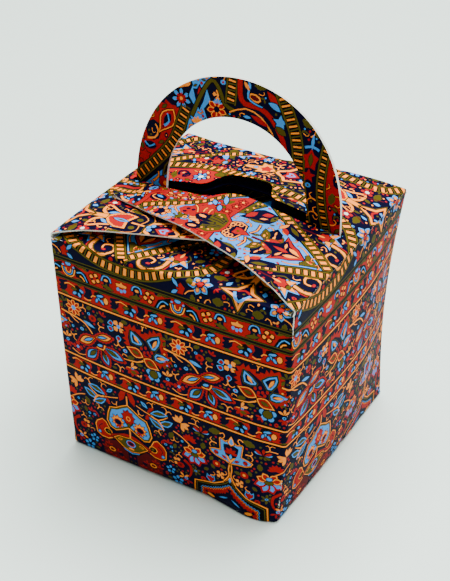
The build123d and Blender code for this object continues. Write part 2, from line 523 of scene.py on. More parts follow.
def inside(places, corners):
    """Which of the places an outline winds around."""
    x, y = places[:, :1], places[:, 1:]
    ax, ay = corners[:, 0], corners[:, 1]
    bx, by = np.roll(ax, -1), np.roll(ay, -1)
    rise = np.where(by == ay, 1.0, by - ay)
    ahead = x < ax + (y - ay) * (bx - ax) / rise
    up = (ay <= y) & (by > y) & ahead
    down = (ay > y) & (by <= y) & ahead
    return up.sum(axis=1) != down.sum(axis=1)


class Places:
    """Places on the blank, sorted into square cells so that those near an outline are found at once."""

    def __init__(self, places):
        self.places = places
        cells = {}
        for i, (a, b) in enumerate(np.floor(places / CELL).astype(int)):
            cells.setdefault((a, b), []).append(i)
        self.cells = {cell: np.array(found) for cell, found in cells.items()}

    def within(self, outline):
        corners = np.array(outline)
        (a, b), (c, d) = (np.floor(edge / CELL).astype(int) for edge in (corners.min(0), corners.max(0)))
        near = [self.cells[i, j] for i in range(a, c + 1) for j in range(b, d + 1) if (i, j) in self.cells]
        if not near:
            return np.array([], int)
        near = np.concatenate(near)
        return near[inside(self.places[near], corners)]


def triangulated(outlines, lines):
    """Points and triangles, cut along every outline and line; and which corners each point was."""
    points, edges = [], []
    for outline in outlines:
        first, count = len(points), len(outline)
        points += outline
        edges += [(first + i, first + (i + 1) % count) for i in range(count)]
    for ua, va, ub, vb in lines:
        points += [(ua, va), (ub, vb)]
        edges.append((len(points) - 2, len(points) - 1))
    flat = [Vector(point) for point in points]
    found, _, triangles, origins, _, _ = delaunay_2d_cdt(flat, edges, [], 0, CLOSE, True)
    return np.array([tuple(p) for p in found]), np.array(triangles), origins


def on_the_sheet(points, triangles, regions, holes):
    """The triangles that are card, and the places of their middles."""
    a, b, c = (points[triangles[:, i]] for i in range(3))
    ab, ac = b - a, c - a
    full = np.abs(ab[:, 0] * ac[:, 1] - ab[:, 1] * ac[:, 0]) > SLIVER
    middles = Places((a + b + c) / 3)
    card = np.zeros(len(triangles), bool)
    for outline in regions:
        card[middles.within(outline)] = True
    for outline in holes:
        card[middles.within(outline)] = False
    return card & full, middles


def inked(points, triangles, regions, holes, shapes):
    """The triangles that are card, each with the ink that was painted last over its middle."""
    card, middles = on_the_sheet(points, triangles, regions, holes)
    last = np.full(len(triangles), -1)
    for i, (_, outline) in enumerate(shapes):
        last[middles.within(outline)] = i
    return triangles[card].tolist(), [shapes[i][0] if i >= 0 else None for i in last[card]]


def borders(triangles, inks):
    """The edges where two inks meet or the sheet ends."""
    beside = {}
    for (a, b, c), ink in zip(triangles, inks):
        for edge in ((a, b), (b, c), (c, a)):
            beside.setdefault((min(edge), max(edge)), []).append(ink)
    return [edge for edge, found in beside.items() if len(found) < 2 or found[0] != found[1]]


def runs_of(edges, kept):
    """The borders as runs of points, each from one fork or kept point to the next, or round an island."""
    near = {}
    for a, b in edges:
        near.setdefault(a, {})[b] = True
        near.setdefault(b, {})[a] = True
    forks = {point for point, found in near.items() if len(found) != 2 or point in kept}
    runs = []
    for start in sorted(forks) + sorted(set(near) - forks):
        while near[start]:
            run = [start]
            while len(run) == 1 or (run[-1] not in forks and near[run[-1]]):
                onward = next(iter(near[run[-1]]))
                del near[run[-1]][onward], near[onward][run[-1]]
                run.append(onward)
            runs.append(run)
    return runs


def straightened(points, run):
    """The run without the points that lie within SLACK of its line."""
    if len(run) < 3:
        return run
    start, way = points[run[0]], points[run[-1]] - points[run[0]]
    off = points[run[1:-1]] - start
    length = hypot(*way)
    apart = np.abs(off[:, 0] * way[1] - off[:, 1] * way[0]) / length if length > CLOSE else np.hypot(*off.T)
    far = int(apart.argmax()) + 1
    if apart[far - 1] < SLACK:
        return [run[0], run[-1]]
    return straightened(points, run[: far + 1])[:-1] + straightened(points, run[far:])


def cut(regions, holes, shapes, lines):
    """Cuts the sheet where its inks meet. Gives its points, triangles and each one's ink."""
    points, triangles, _ = triangulated(regions + holes + [shape for _, shape in shapes], [])
    triangles, inks = inked(points, triangles, regions, holes, shapes)
    rim = {point for edge in rim_of(triangles) for point in edge}
    cuts = list(lines)
    for run in runs_of(borders(triangles, inks), rim):
        corners = [tuple(points[i]) for i in straightened(points, run)]
        cuts += [(*a, *b) for a, b in zip(corners, corners[1:])]
    points, triangles, _ = triangulated([], cuts)
    return points, *inked(points, triangles, regions, holes, shapes)


def rim_of(triangles):
    """The sheet's outer edges, each with the sheet on its left."""
    edges = {(t[i], t[(i + 1) % 3]) for t in triangles for i in range(3)}
    return [edge for edge in edges if (edge[1], edge[0]) not in edges]


def loops_of(rim):
    """The outer edges joined into closed loops."""
    following = {}
    for a, b in rim:
        following.setdefault(a, []).append(b)
    loops = []
    while following:
        start = next(iter(following))
        loop, here = [start], start
        while True:
            onward = following[here].pop()
            if not following[here]:
                del following[here]
            if onward == start:
                break
            loop.append(onward)
            here = onward
        loops.append(loop)
    return loops


BACK_STEP = 5


def back_of(points, rim, regions, holes, lines):
    """A coarse inner side with the same rim: its points and triangles."""
    loops = loops_of(rim)
    used = [i for loop in loops for i in loop]
    outlines = [[tuple(points[i]) for i in loop] for loop in loops]
    steps = []
    for ua, va, ub, vb in lines:
        count = max(int(hypot(ub - ua, vb - va) / BACK_STEP), 1)
        for i in range(count):
            (a, b), (c, d) = ((ua + (ub - ua) * t / count, va + (vb - va) * t / count) for t in (i, i + 1))
            steps.append((a, b, c, d))
    found, triangles, origins = triangulated(outlines, steps)
    names = {}
    for i, origin in enumerate(origins):
        for source in origin:
            if source < len(used):
                names[i] = used[source]
    card, _ = on_the_sheet(found, triangles, regions, holes)
    return found, triangles[card].tolist(), names


def surface_normal(place, u, v, step=0.01):
    """The way out of the card at a place, from its neighbours on both sides."""
    du = Vector(place(u + step, v)) - Vector(place(u - step, v))
    dv = Vector(place(u, v + step)) - Vector(place(u, v - step))
    return du.cross(dv).normalized()


def worn_carton(u, v):
    """How worn the card is there: 1 on the line of a fold, 0 beside it, and less along its middle."""
    side = min(max(floor(u / TOP_WIDTH), LEFT), REAR)
    across = abs((u + HALF_TOP) % TOP_WIDTH - HALF_TOP)
    near_top = exp(-((v / 9) ** 2))
    near_corner = exp(-((across / 6) ** 2))
    fold = FOLD_RADIUS * pi / 2
    if v > 0:
        return peak(v - fold / 2, fold / 2) * (0.5 + 0.5 * near_corner) if side != RIGHT else 0.0
    if v < FOOT_V[side]:
        return 0.7 * peak(FOOT_V[side] - v - FOOT_RADIUS * pi / 4, FOOT_RADIUS * pi / 4)
    return peak(across, CORNER_RADIUS) * (0.62 + 0.38 * near_top)


def worn_lid(u, v):
    """The same for the closing flap, which is cracked only along its fold."""
    lead, sprung = lid_path.stretches[1][0], lid_path.sprung
    return 0.6 * peak(v - (lead + sprung) / 2, (sprung - lead) / 2)


def in_box(place, outline):
    """Whether a place lies in the box around an outline."""
    us, vs = zip(*outline)
    return min(us) - 0.1 < place[0] < max(us) + 0.1 and min(vs) - 0.1 < place[1] < max(vs) + 0.1


def folded_sheet(name, place, regions, holes, shapes, lines, ground, worn):
    """One closed piece of card: printed side, white side and white cut edges, except the cut edges round the
    slots, which are inked black as painted shade.
    """
    points, triangles, inks = cut(regions, holes, shapes, lines)
    rim = rim_of(triangles)
    back_points, back_triangles, names = back_of(points, rim, regions, holes, lines)
    used = sorted({i for t in triangles for i in t})
    number = {old: new for new, old in enumerate(used)}
    vertices = [place(*points[i]) for i in used]
    faces = [tuple(number[i] for i in t) for t in triangles]
    behind, back_number = {}, {}
    for t in back_triangles:
        for i in t:
            if i in back_number:
                continue
            u, v = points[names[i]] if i in names else back_points[i]
            inward = Vector(place(u, v)) - surface_normal(place, u, v) * CARD
            back_number[i] = len(vertices)
            if i in names:
                behind[names[i]] = len(vertices)
            vertices.append(tuple(inward))
    front_count = len(faces)
    faces += [tuple(back_number[i] for i in reversed(t)) for t in back_triangles]
    back_count = len(faces)
    faces += [(number[b], number[a], behind[a], behind[b]) for a, b in rim]
    mesh = bpy.data.meshes.new(name)
    mesh.from_pydata([tuple(c * MM for c in vertex) for vertex in vertices], [], faces)
    colours = mesh.color_attributes.new(name="ink", type="FLOAT_COLOR", domain="CORNER")
    shades = []
    # Painted shade: the cut edges round the slots get black ink instead of white, to stand for the dark under
    # the flaps.
    shaded_slot_rims = {back_count + i for i, (a, b) in enumerate(rim) if any(in_box(points[a],
                                                                               hole) for hole in holes)}
    for polygon in mesh.polygons:
        in_front, in_shaded_slot = polygon.index < front_count, polygon.index in shaded_slot_rims
        ink = inks[polygon.index] or ground if in_front else "black" if in_shaded_slot else "white"
        shades += [(*INKS[ink], 1.0)] * polygon.loop_total
        polygon.use_smooth = polygon.index < back_count
        polygon.material_index = 0 if in_front or in_shaded_slot else 1
    colours.data.foreach_set("color", np.array(shades, np.float32).ravel())
    wear = mesh.attributes.new(name="worn", type="FLOAT", domain="POINT")
    front_wear = [worn(*points[i]) for i in used]
    wear.data.foreach_set("value", np.array(front_wear + [0.0] * (len(vertices) - len(used)), np.float32))
    piece = bpy.data.objects.new(name, mesh)
    bpy.context.scene.collection.objects.link(piece)
    mesh.materials.append(printed_card)
    mesh.materials.append(white_card)
    rim_edges = {tuple(sorted(edge)) for a, b in rim for edge in ((number[a], number[b]),
                                                                  (behind[a], behind[b]))}
    for edge in mesh.edges:
        edge.use_edge_sharp = tuple(sorted(edge.vertices)) in rim_edges
    return piece


# Inks and card

def linear(red, green, blue):
    """An ink given as it looks on screen, 0 to 255."""
    return tuple(((c / 255 + 0.055) / 1.055) ** 2.4 if c > 10 else c / 255 / 12.92 for c in (red, green,
                                                                                             blue))


INKS = {
    "navy": linear(5, 3, 32),
    "red": linear(160, 20, 20),
    "peach": linear(255, 138, 36),
    "blue": linear(62, 140, 218),
    "olive": linear(76, 66, 14),
    "black": linear(7, 6, 8),
    "maroon": linear(84, 11, 15),
    "white": linear(224, 224, 216),
}


def node_group(name, inputs, outputs):
    """An empty group of nodes with its sockets: name and what kind each is."""
    group = bpy.data.node_groups.new(name, "ShaderNodeTree")
    for socket, kind in inputs.items():
        group.interface.new_socket(socket, in_out="INPUT", socket_type=kind)
    for socket, kind in outputs.items():
        group.interface.new_socket(socket, in_out="OUTPUT", socket_type=kind)
    return group, group.nodes.new("NodeGroupInput").outputs, group.nodes.new("NodeGroupOutput").inputs


def noise(group, place, scale, detail, roughness=0.6):
    node = group.nodes.new("ShaderNodeTexNoise")
    node.inputs["Scale"].default_value = scale
    node.inputs["Detail"].default_value = detail
    node.inputs["Roughness"].default_value = roughness
    group.links.new(place, node.inputs["Vector"])
    return node.outputs["Fac"]


def spread(group, value, low, high, to_low, to_high):
    """A value moved from one range to another, and held inside it."""
    node = group.nodes.new("ShaderNodeMapRange")
    node.clamp = True
    for socket, number in zip(node.inputs[1:5], (low, high, to_low, to_high)):
        socket.default_value = number
    group.links.new(value, node.inputs["Value"])
    return node.outputs["Result"]


def sums(group, kind, first, second):
    node = group.nodes.new("ShaderNodeMath")
    node.operation = kind
    for socket, value in zip(node.inputs, (first, second)):
        if isinstance(value, float):
            socket.default_value = value
        else:
            group.links.new(value, socket)
    return node.outputs["Value"]


def paper_grain():
    """Fine unevenness of ink on card: a shade to multiply with, a roughness and a height."""
    group, _, out = node_group(
        "paper_grain", {}, {"Shade": "NodeSocketFloat", "Roughness": "NodeSocketFloat",
                            "Height": "NodeSocketFloat"}
    )
    place = group.nodes.new("ShaderNodeTexCoord").outputs["Object"]
    fine, coarse = noise(group, place, 2600, 3), noise(group, place, 160, 4)
    fibre = noise(group, place, 1100, 6, 0.7)
    ink = spread(group, fine, 0.3, 0.7, 0.86, 1.1)
    cloud = spread(group, coarse, 0.3, 0.7, 0.93, 1.05)
    group.links.new(sums(group, "MULTIPLY", ink, cloud), out["Shade"])
    group.links.new(spread(group, fibre, 0.3, 0.7, 0.46, 0.62), out["Roughness"])
    group.links.new(sums(group, "ADD", sums(group, "MULTIPLY", fine, 0.35), fibre), out["Height"])
    return group


def cracked_ink():
    """Where the ink has broken off along a fold and the white card shows."""
    group, given, out = node_group("cracked_ink", {"Worn": "NodeSocketFloat"}, {"Mask": "NodeSocketFloat"})
    place = group.nodes.new("ShaderNodeTexCoord").outputs["Object"]
    flakes, patches = noise(group, place, 1500, 3), noise(group, place, 90, 2)
    limit = sums(group, "ADD", sums(group, "MULTIPLY", flakes, 0.9), sums(group, "MULTIPLY", patches, 1.1))
    over = sums(group, "SUBTRACT", given["Worn"], sums(group, "SUBTRACT", limit, 0.3))
    group.links.new(spread(group, over, 0.0, 0.12, 0.0, 0.85), out["Mask"])
    return group


def card_material(name, build):
    material = bpy.data.materials.new(name)
    material.use_nodes = True
    shader = next(node for node in material.node_tree.nodes if node.type == "BSDF_PRINCIPLED")
    build(material.node_tree, shader)
    return material


def placed(tree, group):
    node = tree.nodes.new("ShaderNodeGroup")
    node.node_tree = group
    return node


def attribute(tree, name):
    node = tree.nodes.new("ShaderNodeAttribute")
    node.attribute_name = name
    return node.outputs


def bumped(tree, shader, height, depth):
    bump = tree.nodes.new("ShaderNodeBump")
    bump.inputs["Strength"].default_value = 0.35
    bump.inputs["Distance"].default_value = depth * MM
    tree.links.new(height, bump.inputs["Height"])
    tree.links.new(bump.outputs["Normal"], shader.inputs["Normal"])


GRAIN, CRACKS = paper_grain(), cracked_ink()


def printed(tree, shader):
    """Matt ink over card, uneven as print is, and cracked to the white at the folds."""
    grain, cracks = placed(tree, GRAIN), placed(tree, CRACKS)
    shaded, mixed = (tree.nodes.new("ShaderNodeMix") for _ in range(2))
    shaded.data_type = mixed.data_type = "RGBA"
    shaded.blend_type = "MULTIPLY"
    shaded.inputs["Factor"].default_value = 1.0
    tree.links.new(attribute(tree, "ink")["Color"], shaded.inputs["A"])
    tree.links.new(grain.outputs["Shade"], shaded.inputs["B"])
    tree.links.new(attribute(tree, "worn")["Fac"], cracks.inputs["Worn"])
    tree.links.new(cracks.outputs["Mask"], mixed.inputs["Factor"])
    tree.links.new(shaded.outputs["Result"], mixed.inputs["A"])
    mixed.inputs["B"].default_value = (*INKS["white"], 1)
    tree.links.new(mixed.outputs["Result"], shader.inputs["Base Color"])
    tree.links.new(grain.outputs["Roughness"], shader.inputs["Roughness"])
    bumped(tree, shader, grain.outputs["Height"], 0.03)
    shader.inputs["Specular IOR Level"].default_value = 0.02


def unprinted(tree, shader):
    """The card's bare inner side and cut edges."""
    grain = placed(tree, GRAIN)
    shaded = tree.nodes.new("ShaderNodeMix")
    shaded.data_type = "RGBA"
    shaded.blend_type = "MULTIPLY"
    shaded.inputs["Factor"].default_value = 0.5
    shaded.inputs["A"].default_value = (*INKS["white"], 1)
    tree.links.new(grain.outputs["Shade"], shaded.inputs["B"])
    tree.links.new(shaded.outputs["Result"], shader.inputs["Base Color"])
    bumped(tree, shader, grain.outputs["Height"], 0.05)
    shader.inputs["Roughness"].default_value = 0.85
    shader.inputs["Specular IOR Level"].default_value = 0.2


printed_card = card_material("printed_card", printed)
white_card = card_material("white_card", unprinted)


# Drawing: a motif is a list of inks and outlines in millimetres, painted one over the other

def grown(outline, by):
    """The outline moved outwards by so much, or inwards where by is negative."""
    if area_of(outline) < 0:
        outline = outline[::-1]
    out = []
    count = len(outline)
    for i, (x, y) in enumerate(outline):
        (ax, ay), (bx, by_) = outline[i - 1], outline[(i + 1) % count]
        na = Vector((y - ay, ax - x))
        nb = Vector((by_ - y, x - bx))
        if na.length < 1e-6 or nb.length < 1e-6:
            continue
        na.normalize()
        nb.normalize()
        middle = na + nb
        reach = by / max(middle.length_squared / 2, 0.45)
        out.append((x + middle.x * reach, y + middle.y * reach))
    return out


def curve(points, steps=3):
    """A smooth line through the points."""
    ends = [points[0]] + list(points) + [points[-1]]
    out = []
    for a, b, c, d in zip(ends, ends[1:], ends[2:], ends[3:]):
        for i in range(steps):
            t = i / steps
            out.append(tuple(
                0.5 * (2 * q + (r - p) * t + (2 * p - 5 * q + 4 * r - s) * t**2 + (3 * q - p - 3 * r
                + s) * t**3)
                for p, q, r, s in zip(a, b, c, d)
            ))
    return out + [tuple(points[-1])]


def stroke(points, width, thin=0, steps=2):
    """A line with a body that thins out towards its far end."""
    line = curve(points, steps)
    left, right = [], []
    last = len(line) - 1
    for i, (x, y) in enumerate(line):
        ax, ay = line[max(i - 1, 0)]
        bx, by = line[min(i + 1, last)]
        length = hypot(bx - ax, by - ay)
        half = width / 2 * (1 - thin * i / last)
        left.append((x - (by - ay) / length * half, y + (bx - ax) / length * half))
        right.append((x + (by - ay) / length * half, y - (bx - ax) / length * half))
    return left + right[::-1]


def leaf(x0, y0, x1, y1, width, full=0.5, bend=0, steps=4):
    """Pointed at both ends, widest at full of its length, its middle bent to the left."""
    ax, ay = x1 - x0, y1 - y0
    length = hypot(ax, ay)
    nx, ny = -ay / length, ax / length
    power = log(0.5) / log(full)
    left, right = [], []
    for i in range(1, steps):
        t = i / steps
        half = width / 2 * sin(pi * t**power)
        off = bend * sin(pi * t)
        for side, out in ((half + off, left), (off - half, right)):
            out.append((x0 + ax * t + nx * side, y0 + ay * t + ny * side))
    return [(x0, y0)] + left + [(x1, y1)] + right[::-1]


def oval(x, y, a, b=None, turn=0, steps=8):
    b = a if b is None else b
    c, s = cos(radians(turn)), sin(radians(turn))
    around = [(a * cos(2 * pi * i / steps), b * sin(2 * pi * i / steps)) for i in range(steps)]
    return [(x + p * c - q * s, y + p * s + q * c) for p, q in around]


def toothed(x, y, outer, inner, count, turn=90, tall=1):
    """A star or a scalloped disc."""
    out = []
    for i in range(2 * count):
        angle = radians(turn) + pi * i / count
        r = inner if i % 2 else outer
        out.append((x + r * cos(angle), y + r * sin(angle) * tall))
    return out


def teeth_along(points, depth, step, lean=0.35):
    """A closed outline with pointed teeth along its rim."""
    if area_of(points) < 0:
        points = points[::-1]
    out = []
    for (ax, ay), (bx, by) in zip(points, points[1:] + points[:1]):
        length = hypot(bx - ax, by - ay)
        count = max(round(length / step), 1)
        nx, ny = (by - ay) / length, (ax - bx) / length
        for i in range(count):
            for t, d in ((i / count, 0), ((i + lean) / count, depth)):
                out.append((ax + (bx - ax) * t + nx * d, ay + (by - ay) * t + ny * d))
    return out


def mirror(points, axis=0):
    """Half an outline, from the axis and back to it, made whole."""
    return list(points) + [(2 * axis - x, y) for x, y in reversed(points) if abs(x - axis) > 1e-6]


# How much the light inks are drawn in at their edges
DRAWN_IN = {"blue": -0.1, "peach": -0.04}


def painting(shape):
    """A drawing call: the shape's own sizes and settings come first, then its inks."""
    def call(self, *sizes, **layers):
        settings = {key: layers.pop(key) for key in ("steps", "bend", "tall", "axis") if key in layers}
        return self.paint(shape(*sizes, **settings), **layers)
    return call


class Art:
    """A motif: inks and outlines. Each layer is an ink and how far it reaches past the outline."""

    def __init__(self):
        self.shapes = []

    def paint(self, outline, **layers):
        """Inks from the outside in, each with how far it reaches beyond the outline."""
        for ink, reach in layers.items():
            ink = ink.rstrip("_")
            reach += DRAWN_IN.get(ink, 0)
            self.shapes.append((ink, grown(outline, reach) if reach else outline))
        return self

    leaf, oval, line = painting(leaf), painting(oval), painting(stroke)
    whole, star, teeth = painting(mirror), painting(toothed), painting(teeth_along)

    def stamp(self, other, x=0, y=0, turn=0, size=1, flip=False):
        c, s = cos(radians(turn)) * size, sin(radians(turn)) * size
        side = -1 if flip else 1
        for ink, outline in other.shapes:
            self.shapes.append((ink, [(x + side * (p * c - q * s), y + p * s + q * c) for p, q in outline]))
        return self

    def edged(self, ink, reach):
        """The same, with a dark line around every shape."""
        self.shapes = [(ink, grown(outline, reach)) for _, outline in self.shapes] + self.shapes
        return self

    def both(self, other, x=0, y=0, turn=0, size=1):
        """A motif and its mirror image, left and right of the axis."""
        self.stamp(other, x, y, turn, size)
        return self.stamp(other, -x, y, turn, size, flip=True)


def standing(outline, x, y):
    """Whether a spot lies inside an outline, and how far from its line."""
    around, gap = False, 99
    for (ax, ay), (bx, by) in zip(outline, outline[1:] + outline[:1]):
        dx, dy = bx - ax, by - ay
        t = min(max(((x - ax) * dx + (y - ay) * dy) / (dx * dx + dy * dy or 1), 0), 1)
        gap = min(gap, hypot(ax + dx * t - x, ay + dy * t - y))
        if (ay > y) != (by > y) and x < ax + (y - ay) * dx / dy:
            around = not around
    return around, gap


def boxed(shapes, room):
    """Each shape with the box that it lies in, last painted first."""
    out = []
    for ink, outline in reversed(shapes):
        xs, ys = zip(*outline)
        out.append((min(xs) - room, max(xs) + room, min(ys) - room, max(ys) + room, ink, outline))
    return out


def ground_at(boxes, x, y, room, ground):
    """The ink of the bare ground around a spot, or nothing where something stands."""
    for left, right, foot, top, ink, outline in boxes:
        if left < x < right and foot < y < top:
            around, gap = standing(outline, x, y)
            if gap < room:
                return None
            if around:
                return ink
    return ground


def strewn(art, field, ink, motifs, pitch, room, ground="navy"):
    """Small motifs, in turn, wherever a field is still bare and of that ink."""
    boxes = boxed(art.shapes, room)
    xs, ys = zip(*field)
    count = 0
    for row in range(int((max(ys) - min(ys)) / pitch / 0.8)):
        y = min(ys) + pitch * (0.5 + 0.8 * row)
        for column in range(int((max(xs) - min(xs)) / pitch) + 1):
            x = min(xs) + pitch * (0.25 + 0.5 * (row % 2) + column)
            if standing(field, x, y)[0] and ground_at(boxes, x, y, room, ground) == ink:
                start = len(art.shapes)
                art.stamp(motifs[count % len(motifs)], x, y, 47 * count % 360)
                boxes = boxed(art.shapes[start:], room) + boxes
                count += 1
    return art


# Small motifs

def hook(ink="peach"):
    """A forked curl."""
    art = Art()
    art.line([(0, -1.6), (0.2, 0), (-1, 1), (-2.1, 0.5)], 0.55, 0.5, **{ink: 0})
    art.line([(0.1, -0.1), (1.1, 0.8), (2, 0.2)], 0.55, 0.5, **{ink: 0})
    return art


def curl():
    return Art().line([(-1.4, -0.9), (0, -0.6), (0.7, 0.4), (-0.1, 1.1)], 0.5, 0.4, peach=0)


def flower(radius, petals, petal_ink, heart_ink, rim_ink=None, turn=90):
    """Round petals about a heart."""
    art = Art()
    for i in range(petals):
        a = radians(turn) + 2 * pi * i / petals
        outline = leaf(0.2 * cos(a), 0.2 * sin(a), radius * cos(a), radius * sin(a), radius * 3.4 / petals,
                       0.64, steps=4)
        if rim_ink:
            art.paint(outline, **{rim_ink: 0.25})
        art.paint(outline, **{petal_ink: -0.1 * bool(rim_ink)})
    return art.oval(0, 0, radius * 0.34, steps=6, **{heart_ink: 0})


def tuft(radius, ink, spread=(20, 55, 90, 125, 160)):
    """Leaves fanned out from one foot."""
    art = Art()
    for degree in spread:
        a = radians(degree)
        art.leaf(0, 0, radius * cos(a), radius * sin(a), radius * 0.42, 0.6, steps=4, **{ink: 0})
    return art


def green_leaf(length=4, width=2):
    outline = leaf(-length / 2, 0, length / 2, 0, width, steps=4)
    return Art().teeth(outline, 0.3, 1.1, olive=0)


def bud(ink, heart, radius=1.3):
    art = Art().oval(0, 0, radius, radius * 0.85, steps=7, **{ink: 0})
    return art.oval(0, 0, radius * 0.4, steps=5, **{heart: 0})


def sprig(ink, heart):
    """Two leaves and a dot."""
    art = Art().leaf(-0.2, 0, 1.5, 0.5, 0.9, steps=3, **{ink: 0}).leaf(0, 0.2, -0.7, 1.5, 0.8, steps=3,
                                                                       **{ink: 0})
    return art.oval(-0.1, -0.5, 0.5, steps=5, **{heart: 0})


def dot(ink, radius=0.5):
    return Art().oval(0, 0, radius, steps=5, **{ink: 0})


def on_navy():
    return [
        Art().leaf(-1.2, 0, 1.2, 0, 1.2, steps=4, olive=0), sprig("peach", "red"),
        Art().oval(0, 0, 0.95, 0.75, steps=6, red=0).oval(0, 0, 0.35, steps=4, maroon=0),
        Art().stamp(curl(), size=0.8), sprig("olive", "blue"), Art().stamp(tuft(1.7, "red", (30, 90, 150))),
        Art().oval(0, 0, 0.7, steps=6, blue=0).oval(0, 0, 0.3, steps=4, navy=0),
        Art().line([(-1.1, 0.5), (0, -0.4), (1.1, 0.1)], 0.45, 0.4, 1, peach=0), sprig("red", "peach"),
    ]


def on_red():
    return [
        Art().oval(0, 0, 1.2, 0.8, steps=6, navy=0).oval(0, 0, 0.5, 0.3, steps=4, peach=0),
        Art().leaf(-1.2, 0, 1.2, 0, 1.2, steps=4, black=0.2, olive=0),
        Art().line([(-1.1, 0.5), (0, -0.5), (1.2, 0.2)], 0.5, 0.4, 1, black=0.2, peach=0),
        Art().oval(0, 0, 0.8, 0.6, steps=6, black=0.2, blue=0),
    ]


def on_blue():
    return [
        Art().line([(-1.2, -0.6), (0, -0.7), (0.7, 0.3), (-0.2, 0.9)], 0.45, 0.4, 1, maroon=0.16, peach=0),
        Art().leaf(-0.9, 0, 0.9, 0, 0.9, steps=3, navy=0.1, olive=0),
        Art().oval(0, 0, 0.6, 0.5, steps=5, maroon=0.1, red=0),
    ]


def dots(*inks):
    return [dot(ink) for ink in inks]


def hexaflower():
    """Six light blue petals with orange hearts about a red middle."""
    art = Art()
    for i in range(6):
        a = radians(30 + 60 * i)
        tip = leaf(1 * cos(a), 1 * sin(a), 5 * cos(a), 5 * sin(a), 3.3, 0.46)
        art.paint(tip, black=0.35, blue=0)
        art.oval(2.6 * cos(a), 2.6 * sin(a), 1.1, 0.75, 30 + 60 * i, 6, maroon=0.2, peach=0)
    return art.star(0, 0, 1.6, 1.1, 6, black=0.3, red=0)


def star_flower():
    """A red carnation over a three-pointed light blue star."""
    star = mirror([(0, -5.6), (1.7, -2.2), (5.3, -3.2), (2.9, 0.8), (0, 1.2)])
    art = Art().paint(star, black=0.3, blue=0, black_=-0.55, peach=-0.7)
    art.oval(0, -1.4, 1.1, 0.8, maroon=0.2, olive=0)
    art.line([(-3, -0.6), (-3.6, 1.8), (-1.8, 3.8)], 0.7, 0.5, olive=0)
    art.line([(3, -0.6), (3.6, 1.8), (1.8, 3.8)], 0.7, 0.5, olive=0)
    art.star(0, 1.4, 2.4, 1.8, 7, black=0.3, red=0)
    art.leaf(0, 1, 0, 4.6, 1.1, 0.4, peach=0)
    return art.line([(0, 4.4), (0.3, 7), (0.1, 10)], 0.4, maroon=0.1)


def paisley():
    """A curl that winds in on itself, right of its foot."""
    path = [(-4.8, 4.2), (-4.6, -0.4), (-1.6, -3.4), (2.4, -2.8), (3.9, 0.6), (1.9, 3.1), (-0.8, 2.2),
            (-0.4, 0.1)]
    art = Art().line([(-5.8, 3.6), (-5.9, -0.6), (-3.6, -4)], 1.1, 0.5, red=0)
    art.line(path, 2.2, 0.55, black=0.25, olive=0)
    art.line(path, 1.4, 0.5, black=0.12, peach=0)
    for x, y in ((-4.2, 0.8), (-3, -2), (-0.6, -3), (2.2, -2.2), (3.3, 0)):
        art.oval(x, y, 0.42, 0.3, steps=4, navy=0)
    return art.oval(0.4, -0.4, 0.9, 0.6, steps=6, red=0)


# Borders

def rope(points, width=4.2, pitch=2.85, steps=4, block=0.8):
    """A band of olive rules with orange blocks between them, along a line."""
    art = Art()
    art.line(points, width, steps=steps, black=0.25, olive=0)
    art.line(points, width - 1.2, steps=steps, black=0)
    line = curve(points, 8)
    travelled, due = 0, pitch / 2
    for (ax, ay), (bx, by) in zip(line, line[1:]):
        length = hypot(bx - ax, by - ay)
        while length > 0 and travelled + length >= due:
            t = (due - travelled) / length
            turn = degrees(atan2(by - ay, bx - ax))
            bar, tick = Art(), Art()
            half = width / 2 - 0.75
            bar.paint([(-block, -half), (block - 0.25, -half), (block, half), (0.3 - block, half)], peach=0)
            tick.paint([(-0.2, -half), (0.25, -half), (0.2, half), (-0.25, half)], olive=0)
            x, y = ax + (bx - ax) * t, ay + (by - ay) * t
            art.stamp(bar, x, y, turn)
            onward = pitch / 2 / length
            art.stamp(tick, x + (bx - ax) * onward, y + (by - ay) * onward, turn)
            due += pitch
        travelled += length
    return art


def rule(start, end, z, half, **layers):
    """A straight line along the walls: half its width, then its inks."""
    return Art().paint([(start, z - half), (end, z - half), (end, z + half), (start, z + half)], **layers)


# The red bands

